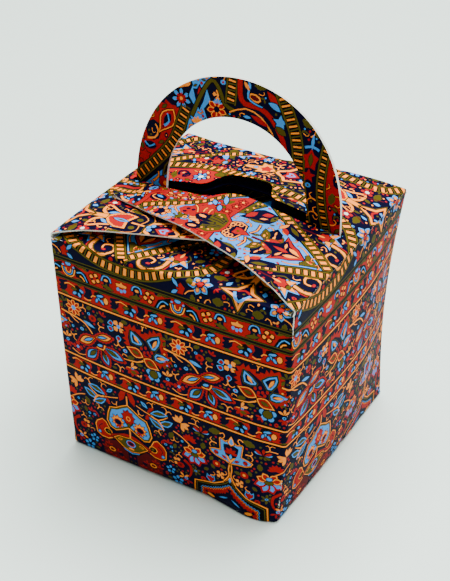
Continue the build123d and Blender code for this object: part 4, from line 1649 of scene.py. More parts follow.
def rhomb_heart():
    """What fills the light blue rhomb, from its lower tip upwards."""
    art, side = Art(), Art()
    side.line([(3.4, 11), (5.2, 13.6), (5.8, 16)], 0.6, 0.4, peach=0)
    for x, y, turn in ((9.6, 22.6, 200), (12.4, 25.2, 120), (8.6, 27.2, 30), (15, 27.6, 60), (6.2, 34, 10),
                       (12, 22.6, -30)):
        side.stamp(curl(), x, y, turn, 0.95)
    side.line([(1.6, 31.4), (4.2, 30.2), (8, 30.8)], 0.55, maroon=0.12, peach=0)
    side.leaf(1.4, 30.6, 2.6, 28, 1.2, olive=0)
    side.leaf(8.6, 38.4, 16.4, 28.2, 7.4, 0.6, steps=6, black=0.2, navy=0)
    side.leaf(9.4, 37.2, 14.2, 35, 2.6, red=0)
    side.leaf(9, 36, 10.2, 30.4, 1.4, bend=-0.4, olive=0)
    side.leaf(12.2, 29.4, 16.6, 28.6, 2, olive=0).leaf(11.2, 33, 13, 30.6, 1.1, peach=0)
    side.leaf(13.6, 33.2, 16.4, 30.2, 2.2, red=0)
    side.paint([(9.6, 40.4), (21.4, 37.6), (19.4, 34.4), (15, 36.8), (11.4, 37.4)], black=0.2, olive=0)
    side.paint([(13.4, 19.4), (16.2, 23.6), (13.6, 25), (10.6, 21.6), (8.6, 17.2), (10.6, 15.6)], navy=0)
    side.leaf(11, 18.2, 14.2, 22.8, 1.8, olive=0)
    side.leaf(0.8, 23.2, 9.4, 25.2, 4.4, 0.6, black=0.2, navy=0)
    side.leaf(2.2, 23.7, 6, 24.2, 1, peach=0).leaf(5.6, 24.4, 8.4, 24.9, 0.8, peach=0)
    side.leaf(1, 24.6, 7.4, 28.6, 2.8, 0.6, olive=0).leaf(2.4, 25.6, 5.8, 27.4, 0.9, peach=0)
    side.leaf(9, 21.4, 12.4, 24.4, 2, red=0).leaf(10.6, 25.4, 15.4, 23.6, 1.6, peach=0)
    side.leaf(1.4, 22, 6, 21.2, 1.8, red=0)
    side.leaf(1.6, 26.4, 5.4, 27.8, 2.2, maroon=0.15, olive=0).oval(3.4, 27.1, 0.9, 0.5, 20, 6, peach=0)
    side.leaf(0.8, 25.6, 3.6, 21.2, 2.4, olive=0.45, maroon=0.1, red=0)
    side.oval(1.7, 24.8, 0.7, 0.4, -60, 5, peach=0)
    side.line([(0.2, 21.6), (3.6, 20.4), (6.6, 22)], 0.7, 0.4, olive=0)
    side.paint([(5, 41), (13, 40), (21.4, 38.6), (13.4, 50.6), (10, 56), (4.6, 57.6)], maroon=0.2, red=0)
    for x, y in ((8.2, 43.6), (12.6, 42.4), (9.4, 48.8), (16, 41.6)):
        side.stamp(flower(1.7, 5, "red", "peach", "maroon"), x, y)
    side.stamp(green_leaf(4.6, 2.2), 13.8, 46, -50).stamp(bud("blue", "white", 1.3), 11.8, 51.6)
    for x, y in ((3.4, 55.4), (5.6, 54.4), (4.6, 52.6)):
        side.oval(x, y, 0.7, steps=6, navy=0)
    side.stamp(curl(), 3.8, 61, 0).stamp(curl(), 6.4, 58.6, 90)
    art.both(side)
    fleuron = mirror([(0, 10.8), (3.5, 14.6), (4.8, 17.2), (8.2, 20.6), (4.2, 20), (0, 20.4)])
    art.paint(fleuron, black=0.2, red=0)
    art.whole([(0, 12.6), (2.6, 15.4), (3.6, 17.8), (6.2, 19.6), (3, 21), (0, 26)], navy=0)
    for x in (-1, 1):
        art.leaf(x * 0.3, 12.6, x * 2.6, 17.6, 1.9, 0.6, peach=0)
        art.leaf(x * 1, 18.2, x * 4.6, 19.4, 1.1, 0.6, peach=0)
    art.leaf(0, 13.4, 0, 17.2, 1.3, navy=0)
    art.leaf(0, 16.6, 0, 22.2, 1.9, 0.4, black=0.15, red=0)
    art.line([(0, 26.4), (0, 28), (0, 29.6)], 0.7, maroon=0.1)
    art.whole([(0, 39.4), (1.8, 39.6), (4.4, 38.6), (5.6, 36.4), (4.6, 33.8), (1.6, 33), (0, 33.4)],
              black=0.2, peach=0, navy=-0.45)
    for i in range(7):
        a = radians(-15 + 35 * i)
        art.oval(4 * cos(a), 36.2 + 2.2 * sin(a), 1.25, 0.95, steps=6, peach=0, navy=-0.4)
    art.whole([(0, 31), (1, 32.4), (2, 34.8), (1.8, 36.4), (0, 36.2)], black=0.2, red=0)
    art.oval(0, 34.9, 0.6, steps=6, olive=0)
    fan = mirror([(0, 39.8), (3.4, 40.2), (6.4, 43.2), (5.8, 47.2), (3, 48.4), (0, 47.4)])
    art.paint(grown(fan, 0.9), black=0.2, red=0)
    art.paint(fan, maroon=0.1, olive=0)
    for x in (-2.6, -1.3, 1.3, 2.6):
        art.line([(x * 0.6, 40.6), (x, 43), (x * 1.3, 46)], 0.35, navy=0)
    for x in (-1, 1):
        art.oval(x * 3.2, 48.4, 2.3, 1.9, navy=0, peach=-1)
    art.leaf(0, 44, 0, 50.6, 1.7, navy=0)
    art.leaf(0, 50.4, 0, 53.4, 1.6, black=0.2, peach=0).leaf(-1.8, 55, 1.8, 55, 2, olive=0)
    art.whole([(0, 66.4), (1.8, 64), (2.6, 62), (0, 60.4)], black=0.2, navy=0)
    art.stamp(flower(2.4, 6, "peach", "red"), 0, 62.4).stamp(bud("red", "navy", 1.3), 0, 65.2)
    art.edged("navy", 0.22)
    inner = mirror([(0, 5.4), (22.4, 37.6), (0, 70.4)])
    strewn(art, inner, "blue", on_blue(), 1.6, 0.8, "blue")
    strewn(art, inner, "red", on_red() + dots("navy", "peach"), 1.9, 0.9, "blue")
    return strewn(art, inner, "olive", dots("navy", "peach"), 1.5, 0.7, "blue")


def stem():
    """The shield and the palmettes that stand between two medallions."""
    art, side = Art(), Art()
    side.line([(0.9, 14.2), (3, 11.4), (5.6, 10.6), (7.9, 11), (5.6, 15), (4.4, 18.4)], 1.3, 0.3, black=0.25,
              peach=0)
    side.leaf(2.2, 13.2, 4.2, 17.2, 1.8, blue=0).leaf(4, 12.6, 5.8, 11.6, 1.4, olive=0)
    side.stamp(green_leaf(5.2, 2.6), 10, 7.2).stamp(green_leaf(2.6, 1.4), 5, 9, 70)
    side.leaf(5.6, 7.4, 6.8, 4.4, 2, 0.6, black=0.2, blue=0)
    side.line([(5, 12.6), (7.4, 9.2), (9.8, 4.6)], 0.4, maroon=0)
    side.stamp(hook(), 4.8, 12, 40, 0.8).stamp(flower(2.5, 5, "red", "white", turn=30), 10, 11.2)
    side.leaf(9.8, 15.2, 10, 18.6, 1.7, black=0.2, red=0)
    side.line([(0.6, 28.6), (4.4, 29.2), (7.6, 25.6), (7.8, 19.6)], 1.9, 0.3, peach=0.5, olive=0.2, navy=0)
    side.oval(2.9, 25.6, 1.9, black=0.2, navy=0, olive=-0.7)
    side.oval(4.9, 19.6, 0.8, steps=6, black=0.2, blue=0)
    side.leaf(7.8, 18.8, 6.8, 24.6, 1.6, olive=0)
    side.stamp(hook(), 3, 43, -60, 1.2).stamp(hook(), 5.6, 42.8, 60, 1.2).stamp(hook(), 3.4, 52.4, -20, 1.2)
    side.stamp(hexaflower(), 14, 1, 12, 0.86)
    side.stamp(green_leaf(4, 3), 7, -3.2).stamp(curl(), 3.6, -2.6, 150, 0.9).stamp(curl(), 10.6, -4, 100)
    side.star(20.6, -2.8, 1.7, 1.3, 5, tall=1.3, black=0.2, red=0)
    side.leaf(21.4, -2.4, 24, 0.4, 1.5, black=0.2, blue=0).leaf(21.4, -3.4, 24, -5.2, 1.5, black=0.2, blue=0)
    side.line([(15.6, -1.8), (17.6, -2.6), (19, -4.2)], 0.45, peach=0)
    side.stamp(green_leaf(3.2, 1.8), 16, -5, 80).stamp(green_leaf(3, 2.2), 17.8, 1, 50)
    side.stamp(flower(2, 5, "red", "peach"), 6.4, 61).stamp(green_leaf(3, 1.6), 8, 33, 70)
    side.stamp(flower(2.2, 5, "blue", "peach"), 7.6, 49)
    art.both(side)
    art.whole([(0, 22.6), (4.6, 24), (5.2, 20), (3.6, 16.8), (0, 13.6)], black=0.3, peach=0)
    art.teeth(mirror([(0, 21.4), (4, 22.6), (4.2, 20), (2.8, 17.4), (0, 15.2)]), 0.4, 1.1, red=0)
    art.leaf(0, 16.8, 0, 23.2, 2.2, black=0.2, blue=0, olive=-0.6)
    art.paint([(-1.2, 14.6), (-0.9, 8), (0.9, 8), (1.2, 14.6)], olive=0.35, peach=0)
    shield = mirror([(0, -4.4), (2, 0.2), (7.6, 2.6), (3, 4.8), (1, 8.6), (0, 9.8)])
    art.paint(shield, olive=0.55, black=0.2, peach=0, black_=-1.15, navy=-1.3)
    art.line([(-2.8, 3), (-1.6, 0.6), (0, -0.6), (1.6, 0.6), (2.8, 3)], 1.2, blue=0)
    art.line([(-2.2, 3.6), (0, 4.8), (2.2, 3.6)], 0.9, red=0)
    art.paint([(-0.7, 7.4), (0.7, 7.4), (0, 10.4)], black=0)
    art.line([(0, 24), (0, 26), (0, 29)], 0.9, black=0.2, peach=0)
    crown = mirror([(0, 29.6), (3.4, 30.4), (5.8, 34), (7.6, 37), (3.6, 38.8), (1.4, 41.6), (0, 42.4)])
    art.paint(crown, olive=0.55, black=0.3, peach=0, navy=-1.3)
    for x, y in ((-1.5, 31.6), (1.5, 31.6), (0, 30.6)):
        art.oval(x, y, 1.2, 1, steps=6, black=0.15, blue=0)
    art.whole([(0, 33), (2.6, 36), (2, 39), (0, 38)], black=0.2, red=0, blue=-0.8, red_=-1.4)
    top = mirror([(0, 42.2), (2, 44.4), (4.2, 45.4), (3.6, 47), (4.4, 48.8), (1.6, 48.4), (0.9, 53.6),
                  (0, 54.4)])
    art.paint(top, olive=0.5, black=0.25, peach=0)
    art.star(0, 45.8, 2.6, 1.6, 5, red=0)
    art.oval(0, 50, 0.9, steps=7, black=0.15, blue=0).stamp(flower(2.6, 5, "red", "navy"), 0, 63)
    field = mirror([(0, -5.6), (24, -5.6), (22, 0), (16, 6), (13, 12), (11.6, 24), (10.6, 40), (8, 58),
                    (6, 74), (0, 76)])
    strewn(art, field, "navy", on_navy(), 2.3, 1.2)
    return strewn(art, field, "navy", dots("peach", "red", "olive"), 1.6, 0.75)


# The whole print

PERIOD = 86
MEDALLION_U = 28
STEM_U = MEDALLION_U + PERIOD / 2
BUTTERFLY_U = 15.6
RING_U = 6.6
FLORET_U = 21.6
TOP_LINE, SECOND_LINE, WIDE_TOP, BUTTERFLY_Z, WIDE_FOOT, LOWER_TOP = 82.3, 75, 67.6, 54.6, 43.1, 36.6
RULE_HALF, WIDE_RULE_HALF = 0.75, 0.85
BLANK_START, BLANK_END = -TOP_WIDTH, 3 * TOP_WIDTH


def repeated(art, motif, start, pitch, z, reach=45, flip=False):
    """The motif at every pitch along the walls."""
    u = start + pitch * floor((BLANK_START - reach - start) / pitch)
    while u < BLANK_END + reach:
        art.stamp(motif, u, z - WALL_TOP, flip=flip)
        u += pitch


HANDLE_SHIFT = -44.7


def handle_print():
    """The print that shows on the handle, by x and height on the folded box."""
    art = Art()
    art.paint([(-44, 84), (44, 84), (44, 142), (-44, 142)], navy=0)
    art.paint([(-42, 90), (-42, 124), (-24, 124), (-21, 120), (-24, 113), (-29, 105), (-38, 95)], red=0)
    art.paint([(33.4, 125), (41, 118), (42, 90), (36, 92), (33.6, 101), (33, 109)], red=0)
    inner_field = [(-36.4, 91), (-29.4, 98.4), (-24.4, 105.4), (-21.2, 112.6), (-19.4, 121), (-17, 121),
                   (-19, 108), (-22, 91)]
    art.paint(inner_field, black=0.3, blue=0)
    art.oval(-33.6, 113, 3, 3.8, black=0.2, navy=0)
    art.line([(-36, 109.6), (-33, 110.2), (-31.6, 113), (-33, 115.4)], 1, 0.4, peach=0)
    art.oval(-34.6, 107, 2.6, 1.6, navy=0).line([(-37, 108), (-35, 106.4), (-32.8, 107.8)], 0.8, blue=0)
    art.star(-36.6, 102.4, 2.6, 1.6, 6, black=0.3, red=0).oval(-36.6, 98.4, 2, 1.4, navy=0)
    art.leaf(-31.4, 112.4, -25.6, 122.6, 6.4, 0.6, steps=6, black=0.3, peach=0, maroon=-0.5, red=-0.7,
             navy=-1.7)
    art.line([(-29.4, 115.6), (-27.4, 117.6), (-28.2, 120.6)], 1.2, 0.5, blue=0)
    art.stamp(flower(4, 7, "blue", "red", "black"), -22.6, 127.2)
    art.stamp(flower(2.2, 7, "red", "peach"), -22.6, 127.2)
    art.stamp(tuft(3.2, "peach"), -21.4, 131.6, 20).stamp(green_leaf(3.4, 1.8), -26.2, 131.4, 40)
    art.line([(-29, 125), (-25.6, 123), (-21.6, 122.6)], 1.1, red=0)
    art.stamp(rope([(-41, 91), (-33.2, 100), (-28, 106.5), (-24.4, 112.5), (-22.2, 119.5), (-20.6, 124)],
                   4.4, 2.5, block=0.5))
    art.leaf(-28.8, 96, -25, 104.4, 2.9, black=0.3, olive=0, black_=-0.6)
    for line in ([(-24.6, 107.2), (-22.8, 104.8), (-24.2, 102.4), (-22.6, 100.2)],
                 [(-22.2, 112.4), (-21.4, 109.6), (-22.6, 107.6)],
                 [(-32.4, 93.2), (-30.4, 95.6), (-30.6, 97.6)], [(-25.6, 94.6), (-23.8, 96.6), (-25, 98.8)]):
        art.line(line, 0.8, 0.3, black=0.2, peach=0)
    art.whole([(-27.6, 90.6), (-25.2, 93.2), (-25.6, 95.8), (-26.8, 96.2), (-27.6, 95.2)], -27.6, black=0.3,
              red=0)
    art.oval(-27.6, 93.6, 0.8, 1, steps=6, peach=0)
    ogee = mirror([(-15.5, 116), (-19, 121.5), (-17.4, 125.5), (-19.8, 129), (-18.2, 133), (-19.6, 137),
                   (-15.5, 139.6)], -15.5)
    art.paint(ogee, black=0.35, blue=0)
    art.whole([(-15.5, 124.6), (-17, 128), (-18, 131.8), (-16.6, 132), (-15.5, 134)], -15.5, navy=0)
    art.leaf(-15.5, 128, -15.5, 133, 1.6, red=0).stamp(tuft(2.8, "peach"), -16, 119.6)
    art.stamp(flower(3.6, 7, "red", "navy", "peach"), -8.8, 126.4)
    art.stamp(flower(2, 4, "peach", "peach"), -8.6, 131.6)
    art.line([(-11.6, 122.4), (-9, 123.4), (-6.4, 124)], 1, red=0).stamp(tuft(2.2, "blue"), -8.6, 128.4)
    arch = [(-18.4, 122), (-14.6, 131), (-11, 136.2), (-8, 133.6), (-5.8, 129), (-2, 127.4)]
    art.line(arch, 1.3, steps=3, black=0.3, olive=0)
    art.stamp(bud("blue", "red", 1.2), -6.8, 136.4).stamp(bud("peach", "red", 1.5), -10.2, 138.4)
    art.stamp(rope([(-3.4, 141), (-3.5, 135), (-3.8, 129.4)], 4.2, 2.2, block=0.5))
    art.line([(-0.6, 141), (-0.4, 134), (1.6, 130.8), (7, 130.6), (12, 127.6), (16.6, 121), (18.6, 114)],
             1.8, black=0.25, red=0)
    art.line([(-4, 126.6), (2, 129.2), (8, 127.4), (12.6, 122.6)], 0.6, peach=0)
    art.leaf(4, 127.4, 11, 124.8, 2, red=0).leaf(1, 126.4, 4.4, 126.4, 1.4, blue=0)
    art.oval(5, 133.6, 2.5, 1.5, -15, black=0.25, peach=0, maroon=-0.6)
    art.line([(2.8, 136), (2.6, 133.2), (5, 131.7), (8.2, 131)], 1, 0.4, black=0.2, blue=0)
    art.leaf(0.8, 138.6, 3, 135.6, 1.4, peach=0).leaf(2.4, 139.4, 3.4, 136, 1.2, blue=0)
    art.stamp(green_leaf(4, 1.9), 6.6, 137.8, -10)
    art.leaf(9.2, 137, 15.4, 131, 2.8, black=0.25, red=0)
    art.leaf(9.8, 133.2, 14.8, 130.8, 2.3, bend=0.4, black=0.25, blue=0)
    art.star(15, 127.2, 3, 1.5, 5, black=0.3, blue=0).leaf(13.4, 125.6, 17.6, 123.2, 2.4, black=0.2, olive=0)
    art.stamp(rope([(12.4, 141), (17, 132.2), (20.4, 125.5), (22.3, 119), (23.2, 112), (24.6, 103),
                    (26.4, 94)], 4.6, 2.4, block=0.5))
    art.stamp(green_leaf(4.4, 2.6), 24.6, 129.4, -30).stamp(curl(), 27.2, 126.8, 30, 1.2)
    art.leaf(27.3, 126.6, 27.3, 120.4, 1.4, blue=0).line([(24.6, 121), (27.3, 121.9), (30, 121)], 1.1, blue=0)
    art.star(27.2, 117, 3.1, 2, 5, 90, 1.3, red=0).leaf(27.2, 114.8, 27.2, 119.4, 1.6, black=0.15, olive=0)
    art.star(26.9, 111.4, 2.6, 1.2, 5, red=0).stamp(bud("blue", "olive", 1.2), 26.9, 108)
    for x, y, turn in ((28.4, 103.4, 80), (29.4, 98.6, 60)):
        art.stamp(hook(), x, y, turn, 1.2)
    art.oval(37.4, 112, 1.7, 2.7, navy=0).oval(38, 98.6, 1.8, 2.4, navy=0)
    art.stamp(green_leaf(4.2, 2.4), 35.8, 105.2, 80).stamp(curl(), 37, 96.6, 0, 1.2)
    art.stamp(curl(), 36.8, 113.2, 60)
    art.stamp(rope([(32.6, 125), (31.8, 116), (31.6, 108), (32.6, 100), (34.8, 91)], 3.4, 2.4, block=0.5))
    shown = [(-44, 90), (-44, 142), (44, 142), (44, 90)]
    strewn(art, shown, "red", on_red()[:3], 1.9, 0.85)
    strewn(art, shown, "navy", dots("red", "olive") + on_navy()[3:5], 1.8, 0.8)
    return strewn(art, shown, "blue", on_blue(), 1.6, 0.75)


def whole_print():
    """The print of all four walls and of the closing flap."""
    art = Art()
    for top, foot in ((TOP_LINE, SECOND_LINE), (SECOND_LINE, WIDE_TOP), (WIDE_FOOT, LOWER_TOP)):
        v0, v1 = foot - WALL_TOP, top - WALL_TOP
        art.paint([(BLANK_START, v0), (BLANK_END, v0), (BLANK_END, v1), (BLANK_START, v1)], red=0)
    repeated(art, medallion(), MEDALLION_U, PERIOD, WALL_TOP)
    repeated(art, stem(), STEM_U, PERIOD, WALL_TOP)
    repeated(art, ring_band(), RING_U, PERIOD / 2, (TOP_LINE + SECOND_LINE) / 2)
    for middle in ((SECOND_LINE + WIDE_TOP) / 2, (WIDE_FOOT + LOWER_TOP) / 2):
        repeated(art, comma_band(), FLORET_U, PERIOD / 4, middle)
    repeated(art, wide_band(), BUTTERFLY_U, PERIOD / 2, BUTTERFLY_Z)
    half = lower_half()
    repeated(art, half, MEDALLION_U, PERIOD, 0)
    repeated(art, half, MEDALLION_U, PERIOD, 0, flip=True)
    repeated(art, tulip(), STEM_U, PERIOD, 0)
    repeated(art, heart_medallion(), MEDALLION_U, PERIOD, 0)
    for z in (TOP_LINE, SECOND_LINE):
        art.stamp(rule(BLANK_START, BLANK_END, z - WALL_TOP, RULE_HALF, black=0.2, olive=0, black_=-0.32))
    for z in (WIDE_TOP, WIDE_FOOT, LOWER_TOP):
        art.stamp(rule(BLANK_START, BLANK_END, z - WALL_TOP, WIDE_RULE_HALF, black=0, peach=-0.5))
    return art


def reaching(shapes, u0, u1, v0, v1):
    """Only the shapes that reach into this part of the blank."""
    kept = []
    for ink, outline in shapes:
        us, vs = zip(*outline)
        if max(us) > u0 and min(us) < u1 and max(vs) > v0 and min(vs) < v1:
            kept.append((ink, outline))
    return kept


LID_SHIFT = HINGE_HEIGHT - WALL_TOP
HIDDEN_START = 26
LID_MIDDLE_U = TOP_WIDTH * RIGHT + HALF_TOP
STEM_DRAWN_IN, STEM_START, STEM_EASE = 2, 14, 6
SEEN_ASIDE, SEEN_ON, SEEN_START = 1.3, 0.7, 0.4


def fitted(outline):
    """The general print drawn in a little behind the slot, as it lies on the closing flap."""
    return [(u - STEM_DRAWN_IN * clamped((u - LID_MIDDLE_U - STEM_START) / STEM_EASE), v) for u, v in outline]


def on_lid(outline):
    """From how far behind the flap's middle and from its fold a place is seen, to the blank."""
    out = []
    for y, s in outline:
        height = lift(s, y, LID_LIFT_FRONT, LID_LIFT_REAR, LID_EDGE_LIFT)
        out.append((LID_MIDDLE_U + y - SEEN_ASIDE * height, s - SEEN_ON * height + SEEN_START))
    return out


def flap_tip():
    """The crowded print between the slot and the flap's front edge."""
    art = Art()
    art.paint([(-25, 74.6), (-20, 75.6), (-13, 75), (-8, 74), (-3, 72), (0, 78), (0, 92), (-25, 92)], navy=0)
    art.line([(-21.6, 71.8), (-16, 71.6), (-12, 72.2), (-8.6, 70.6), (-7, 67.4)], 1.6, black=0.25, red=0)
    art.oval(-13.2, 68.2, 2.3, 3.2, -15, black=0.3, navy=0)
    art.line([(-14.9, 65.4), (-14.3, 68.6), (-12.8, 70.6), (-11.2, 70.2)], 0.6, peach=0)
    art.leaf(-12.9, 66.2, -11.5, 69.8, 1.5, blue=0)
    art.oval(-13.2, 62.6, 1.7, 1.3, -60, black=0.2, olive=0).oval(-12, 63.6, 1, 0.6, 60, 6, blue=0)
    for x, y, turn in ((-8.2, 66.2, 70), (-8.2, 62.6, 80), (-9.6, 60, -40), (-7.9, 57.4, 60)):
        art.oval(x, y, 1.1, 0.6, turn, 6, black=0.2, peach=0)
    art.oval(-16.4, 74.2, 3.9, 1.3, 8, black=0.2, navy=0)
    for x, y in ((-17.4, 73.3), (-14.3, 73.9), (-19.9, 73.9), (-12.4, 74.6)):
        art.oval(x, y, 1, 0.55, 30, 6, black=0.15, blue=0)
    art.oval(-18.8, 75.4, 1.3, 0.7, steps=6, red=0)
    art.line([(-20, 75.8), (-19.2, 78.4), (-17, 80.6)], 1.2, 0.3, black=0.2, peach=0)
    art.line([(-16.2, 79), (-15.4, 76.6), (-13.6, 74.9)], 1.1, 0.3, black=0.2, peach=0)
    for x, y, turn in ((-17.5, 78.7, 45), (-16.6, 76.7, -30), (-18.3, 77, 60), (-14.7, 76.4, 20),
                       (-15.7, 81.5, 50), (-14.3, 83.2, 50)):
        art.oval(x, y, 1, 0.5, turn, 6, black=0.12, blue=0)
    for x, y in ((-14.6, 81.4), (-16.2, 79.8), (-15.2, 78)):
        art.oval(x, y, 0.6, steps=5, red=0)
    art.stamp(rope([(-9.4, 91), (-11.6, 87), (-12.9, 83), (-12.8, 79), (-11.8, 75.6)], 3.2, 2.1))
    art.line([(-10.2, 88), (-9.4, 84), (-10.2, 80.2), (-8.2, 77.6)], 1.5, black=0.2, red=0)
    art.line([(-12.4, 77.4), (-9.6, 77.2), (-6.6, 78.4)], 0.9, black=0.2, peach=0)
    art.stamp(rope([(-4.4, 90), (-5.6, 86), (-6.4, 82), (-6.6, 78)], 3, 2.1))
    for x, y in ((-7.6, 85.4), (-6.9, 83.4), (-6.3, 81.2), (-4, 83)):
        art.oval(x, y, 1, 0.7, 60, 6, black=0.15, blue=0)
    art.oval(-0.9, 86.4, 1.7, 1.2, black=0.2, red=0).oval(-3.6, 87.6, 1, 0.7, steps=6, peach=0)
    art.oval(-7, 74, 2.1, 1.3, -20, maroon=0.4, blue=0).leaf(-8.6, 74, -5.4, 73.6, 0.8, navy=0)
    art.leaf(-11.8, 75.4, -9.6, 73.2, 1.3, peach=0)
    field = [(-25, 92), (-25, 74), (-19, 73), (-8, 54), (-4, 66), (0, 78), (0, 92)]
    strewn(art, field, "navy", on_navy(), 1.9, 0.8, "red")
    return strewn(art, field, "red", on_red(), 1.9, 0.8, "red")


def rhomb_top():
    """What stands in the upper end of the light blue rhomb."""
    art = Art()
    for side in (-1, 1):
        x = -22.2
        art.paint([
            (x + side * 1.6, 50), (x + side * 2.2, 54.8), (x + side * 4.8, 57.4), (x + side * 7.2, 56.4),
            (x + side * 9.4, 51.6), (x + side * 12.2, 47.4), (x + side * 6.2, 44.8), (x + side * 4.2, 48.6),
        ], maroon=0.15, red=0)
        for dx, y in ((3.7, 54.5), (5.9, 54.3), (5.7, 52.3)):
            art.oval(x + side * dx, y, 0.75, steps=6, navy=0)
        art.oval(x + side * 3.4, 47.3, 1.9, 2.6, black=0.2, navy=0)
        art.oval(x + side * 3.5, 47.5, 0.8, 1.6, side * -12, 7, peach=0)
        art.line([(x + side * 4.8, 50.2), (x + side * 7.6, 51.6), (x + side * 9.4, 53.4)], 0.6, black=0.15,
                 peach=0)
        for y in (48.6, 46.6):
            art.line([(x + side * 5.9, y), (x + side * 7.6, y + 0.3), (x + side * 9, y)], 0.6, black=0.15,
                     peach=0)
        art.line([(x + side * 1.8, 55.8), (x + side * 4, 58.3), (x + side * 5.8, 58.9),
                  (x + side * 8, 57.2)], 0.6, maroon=0.2, peach=0)
        art.line([(x + side * 2.8, 60.8), (x + side * 4, 61.7), (x + side * 5.2, 62)], 0.6, maroon=0.15,
                 peach=0)
    for x0, y0, x1, y1 in ((-13.4, 44.4, -9.2, 46.2), (-10.4, 47.2, -6.8, 49.8), (-8.6, 44.4, -2.8, 47.2)):
        art.leaf(x0, y0, x1, y1, 1.9, black=0.25, blue=0)
    art.paint([(-24.6, 56), (-22.2, 54.8), (-19.9, 56), (-21, 53.2), (-22.2, 51.4), (-23.4, 53.2)],
              black=0.2, olive=0)
    art.oval(-22.2, 52.3, 1, 0.9, steps=7, peach=0, maroon=-0.5)
    art.leaf(-22.2, 51, -22.2, 46.4, 1.8, black=0.2, peach=0).leaf(-22.2, 47.2, -22.2, 42.4, 1.8, navy=0)
    for i in range(8):
        a = radians(22 + 45 * i)
        art.oval(-22.2 + 2.9 * cos(a), 62.2 + 2.6 * sin(a), 0.95, 0.75, steps=6, navy=0.2, peach=0)
    art.oval(-22.2, 62.2, 2.1, 1.8, black=0.2, navy=0).oval(-22.2, 63.5, 1.4, 0.8, red=0)
    art.leaf(-24.6, 66.2, -19.8, 66.2, 1.6, black=0.2, red=0).leaf(-24, 65.1, -20.4, 65.1, 0.9, olive=0)
    return art


def behind_slot():
    """The slanting rope, and what lies on both sides of it."""
    art = Art()
    art.leaf(16.4, 71, 19.6, 66, 2.8, black=0.25, red=0).oval(19.4, 67.8, 0.9, 0.6, -50, 6, white=0)
    art.oval(16.7, 71.4, 1.1, 0.7, 30, 6, black=0.15, blue=0)
    art.star(18.8, 63, 2.6, 1.4, 5, black=0.2, red=0).oval(19, 60, 1.3, 0.9, steps=7, olive=0.4, blue=0)
    art.leaf(20.8, 60.4, 26, 64, 2.6, black=0.25, blue=0).oval(24, 59.8, 1.5, 1, black=0.2, olive=0)
    art.leaf(24.2, 55, 29.6, 60.4, 3, black=0.25, blue=0).line([(25.2, 56.4), (28.6, 58.6)], 0.5, peach=0)
    art.leaf(27.4, 50.4, 30.6, 52.4, 1.5, black=0.2, blue=0).leaf(26.4, 49.6, 31, 49, 1.6, red=0)
    art.oval(30, 56.8, 0.9, 1.2, steps=6, peach=0).oval(27.6, 53.6, 1.6, 1, steps=6, navy=0)
    art.line([(24, 73.8), (23.2, 71.2), (25.2, 68.6)], 1.7, black=0.2, red=0)
    art.oval(28, 74.4, 4.1, 2.2, 35, black=0.3, red=0, olive=-0.8, red_=-1.2)
    art.line([(24.4, 75.2), (27.2, 78.2), (31, 78.9), (33.8, 76.4)], 0.9, olive=0.3, peach=0)
    art.oval(25.3, 71, 1.2, 0.8, steps=7, black=0.2, blue=0)
    art.oval(31.2, 69.4, 2.9, 1.4, 30, black=0.25, red=0).leaf(29, 66.6, 32.8, 66, 1.7, black=0.2, red=0)
    art.oval(32.2, 67.7, 1.2, 0.6, 20, 6, blue=0).oval(30.6, 71.9, 1.8, 0.6, 25, 6, blue=0)
    art.paint([(20.2, 78.2), (22, 80.8), (25, 80.2), (23, 77.4)], black=0.2, red=0)
    art.oval(22.8, 76.6, 0.9, 1.1, steps=6, peach=0)
    art.leaf(24.2, 78.8, 28.4, 81, 1.7, black=0.2, blue=0).leaf(22.4, 75.4, 27.6, 79.6, 1, olive=0)
    art.oval(22.6, 82.4, 1.4, 0.9, 20, black=0.2, peach=0).leaf(19, 81.8, 21.4, 82.6, 1.2, blue=0)
    art.stamp(rope([(25.6, 85.6), (30.4, 82.6), (36.4, 78.4)], 3.6, 2.1))
    art.leaf(34.4, 84.4, 37.2, 86.4, 1.6, red=0)
    art.line([(4.4, 70.4), (6.4, 71.6), (8, 70), (6.6, 67.8), (4.6, 68.2)], 1, navy=0)
    art.oval(4.8, 72.9, 1.7, 0.9, steps=7, black=0.2, olive=0).oval(6.4, 69.8, 0.6, steps=5, peach=0)
    art.leaf(3.2, 56.4, 8.4, 53.8, 1.9, navy=0.4, blue=0).oval(9.4, 56.8, 1.6, 1.9, black=0.2, olive=0)
    for x, y in ((8.9, 64.3), (9.2, 61.4), (6.2, 59.6)):
        art.oval(x, y, 1.2, 0.6, 35, 6, navy=0.3, peach=0)
    return art.stamp(rope([(12.4, 82.4), (16.6, 76.6), (21.6, 70.4), (27, 64), (31.8, 58.2)], 3.7, 2.3))


def seen(outline):
    """Whether a shape of the general print is not under the other flaps or the handle's own print."""
    us, vs = zip(*outline)
    return min(vs) < HIDDEN_START or (max(us) < 0 or TOP_WIDTH < min(us) and max(us) < 2 * TOP_WIDTH)


PRINT_END, HANDLE_PRINT_START = 96, 42
everything = whole_print()
lid_shapes = [
    (ink, fitted(outline))
    for ink, outline in reaching(Art().stamp(everything, 0, -LID_SHIFT).shapes, TOP_WIDTH, 2 * TOP_WIDTH, 0,
                                 100)
]
for art in (flap_tip(), rhomb_top(), behind_slot()):
    lid_shapes += [(ink, on_lid(outline)) for ink, outline in art.shapes]
print_shapes = []
for ink, outline in reaching(everything.shapes, BLANK_START, BLANK_END, FOOT_V[FRONT], PRINT_END):
    us, vs = zip(*outline)
    on_carton = min(vs) < RIGHT_RIM_V or min(us) < TOP_WIDTH or max(us) > 2 * TOP_WIDTH
    if on_carton and seen(outline):
        print_shapes.append((ink, outline))
handles = Art()
for side in (FRONT, REAR):
    handles.stamp(handle_print(), TOP_WIDTH * side + HALF_TOP, HANDLE_SHIFT)
print_shapes += reaching(handles.shapes, 0, BLANK_END, HANDLE_PRINT_START, PRINT_END)
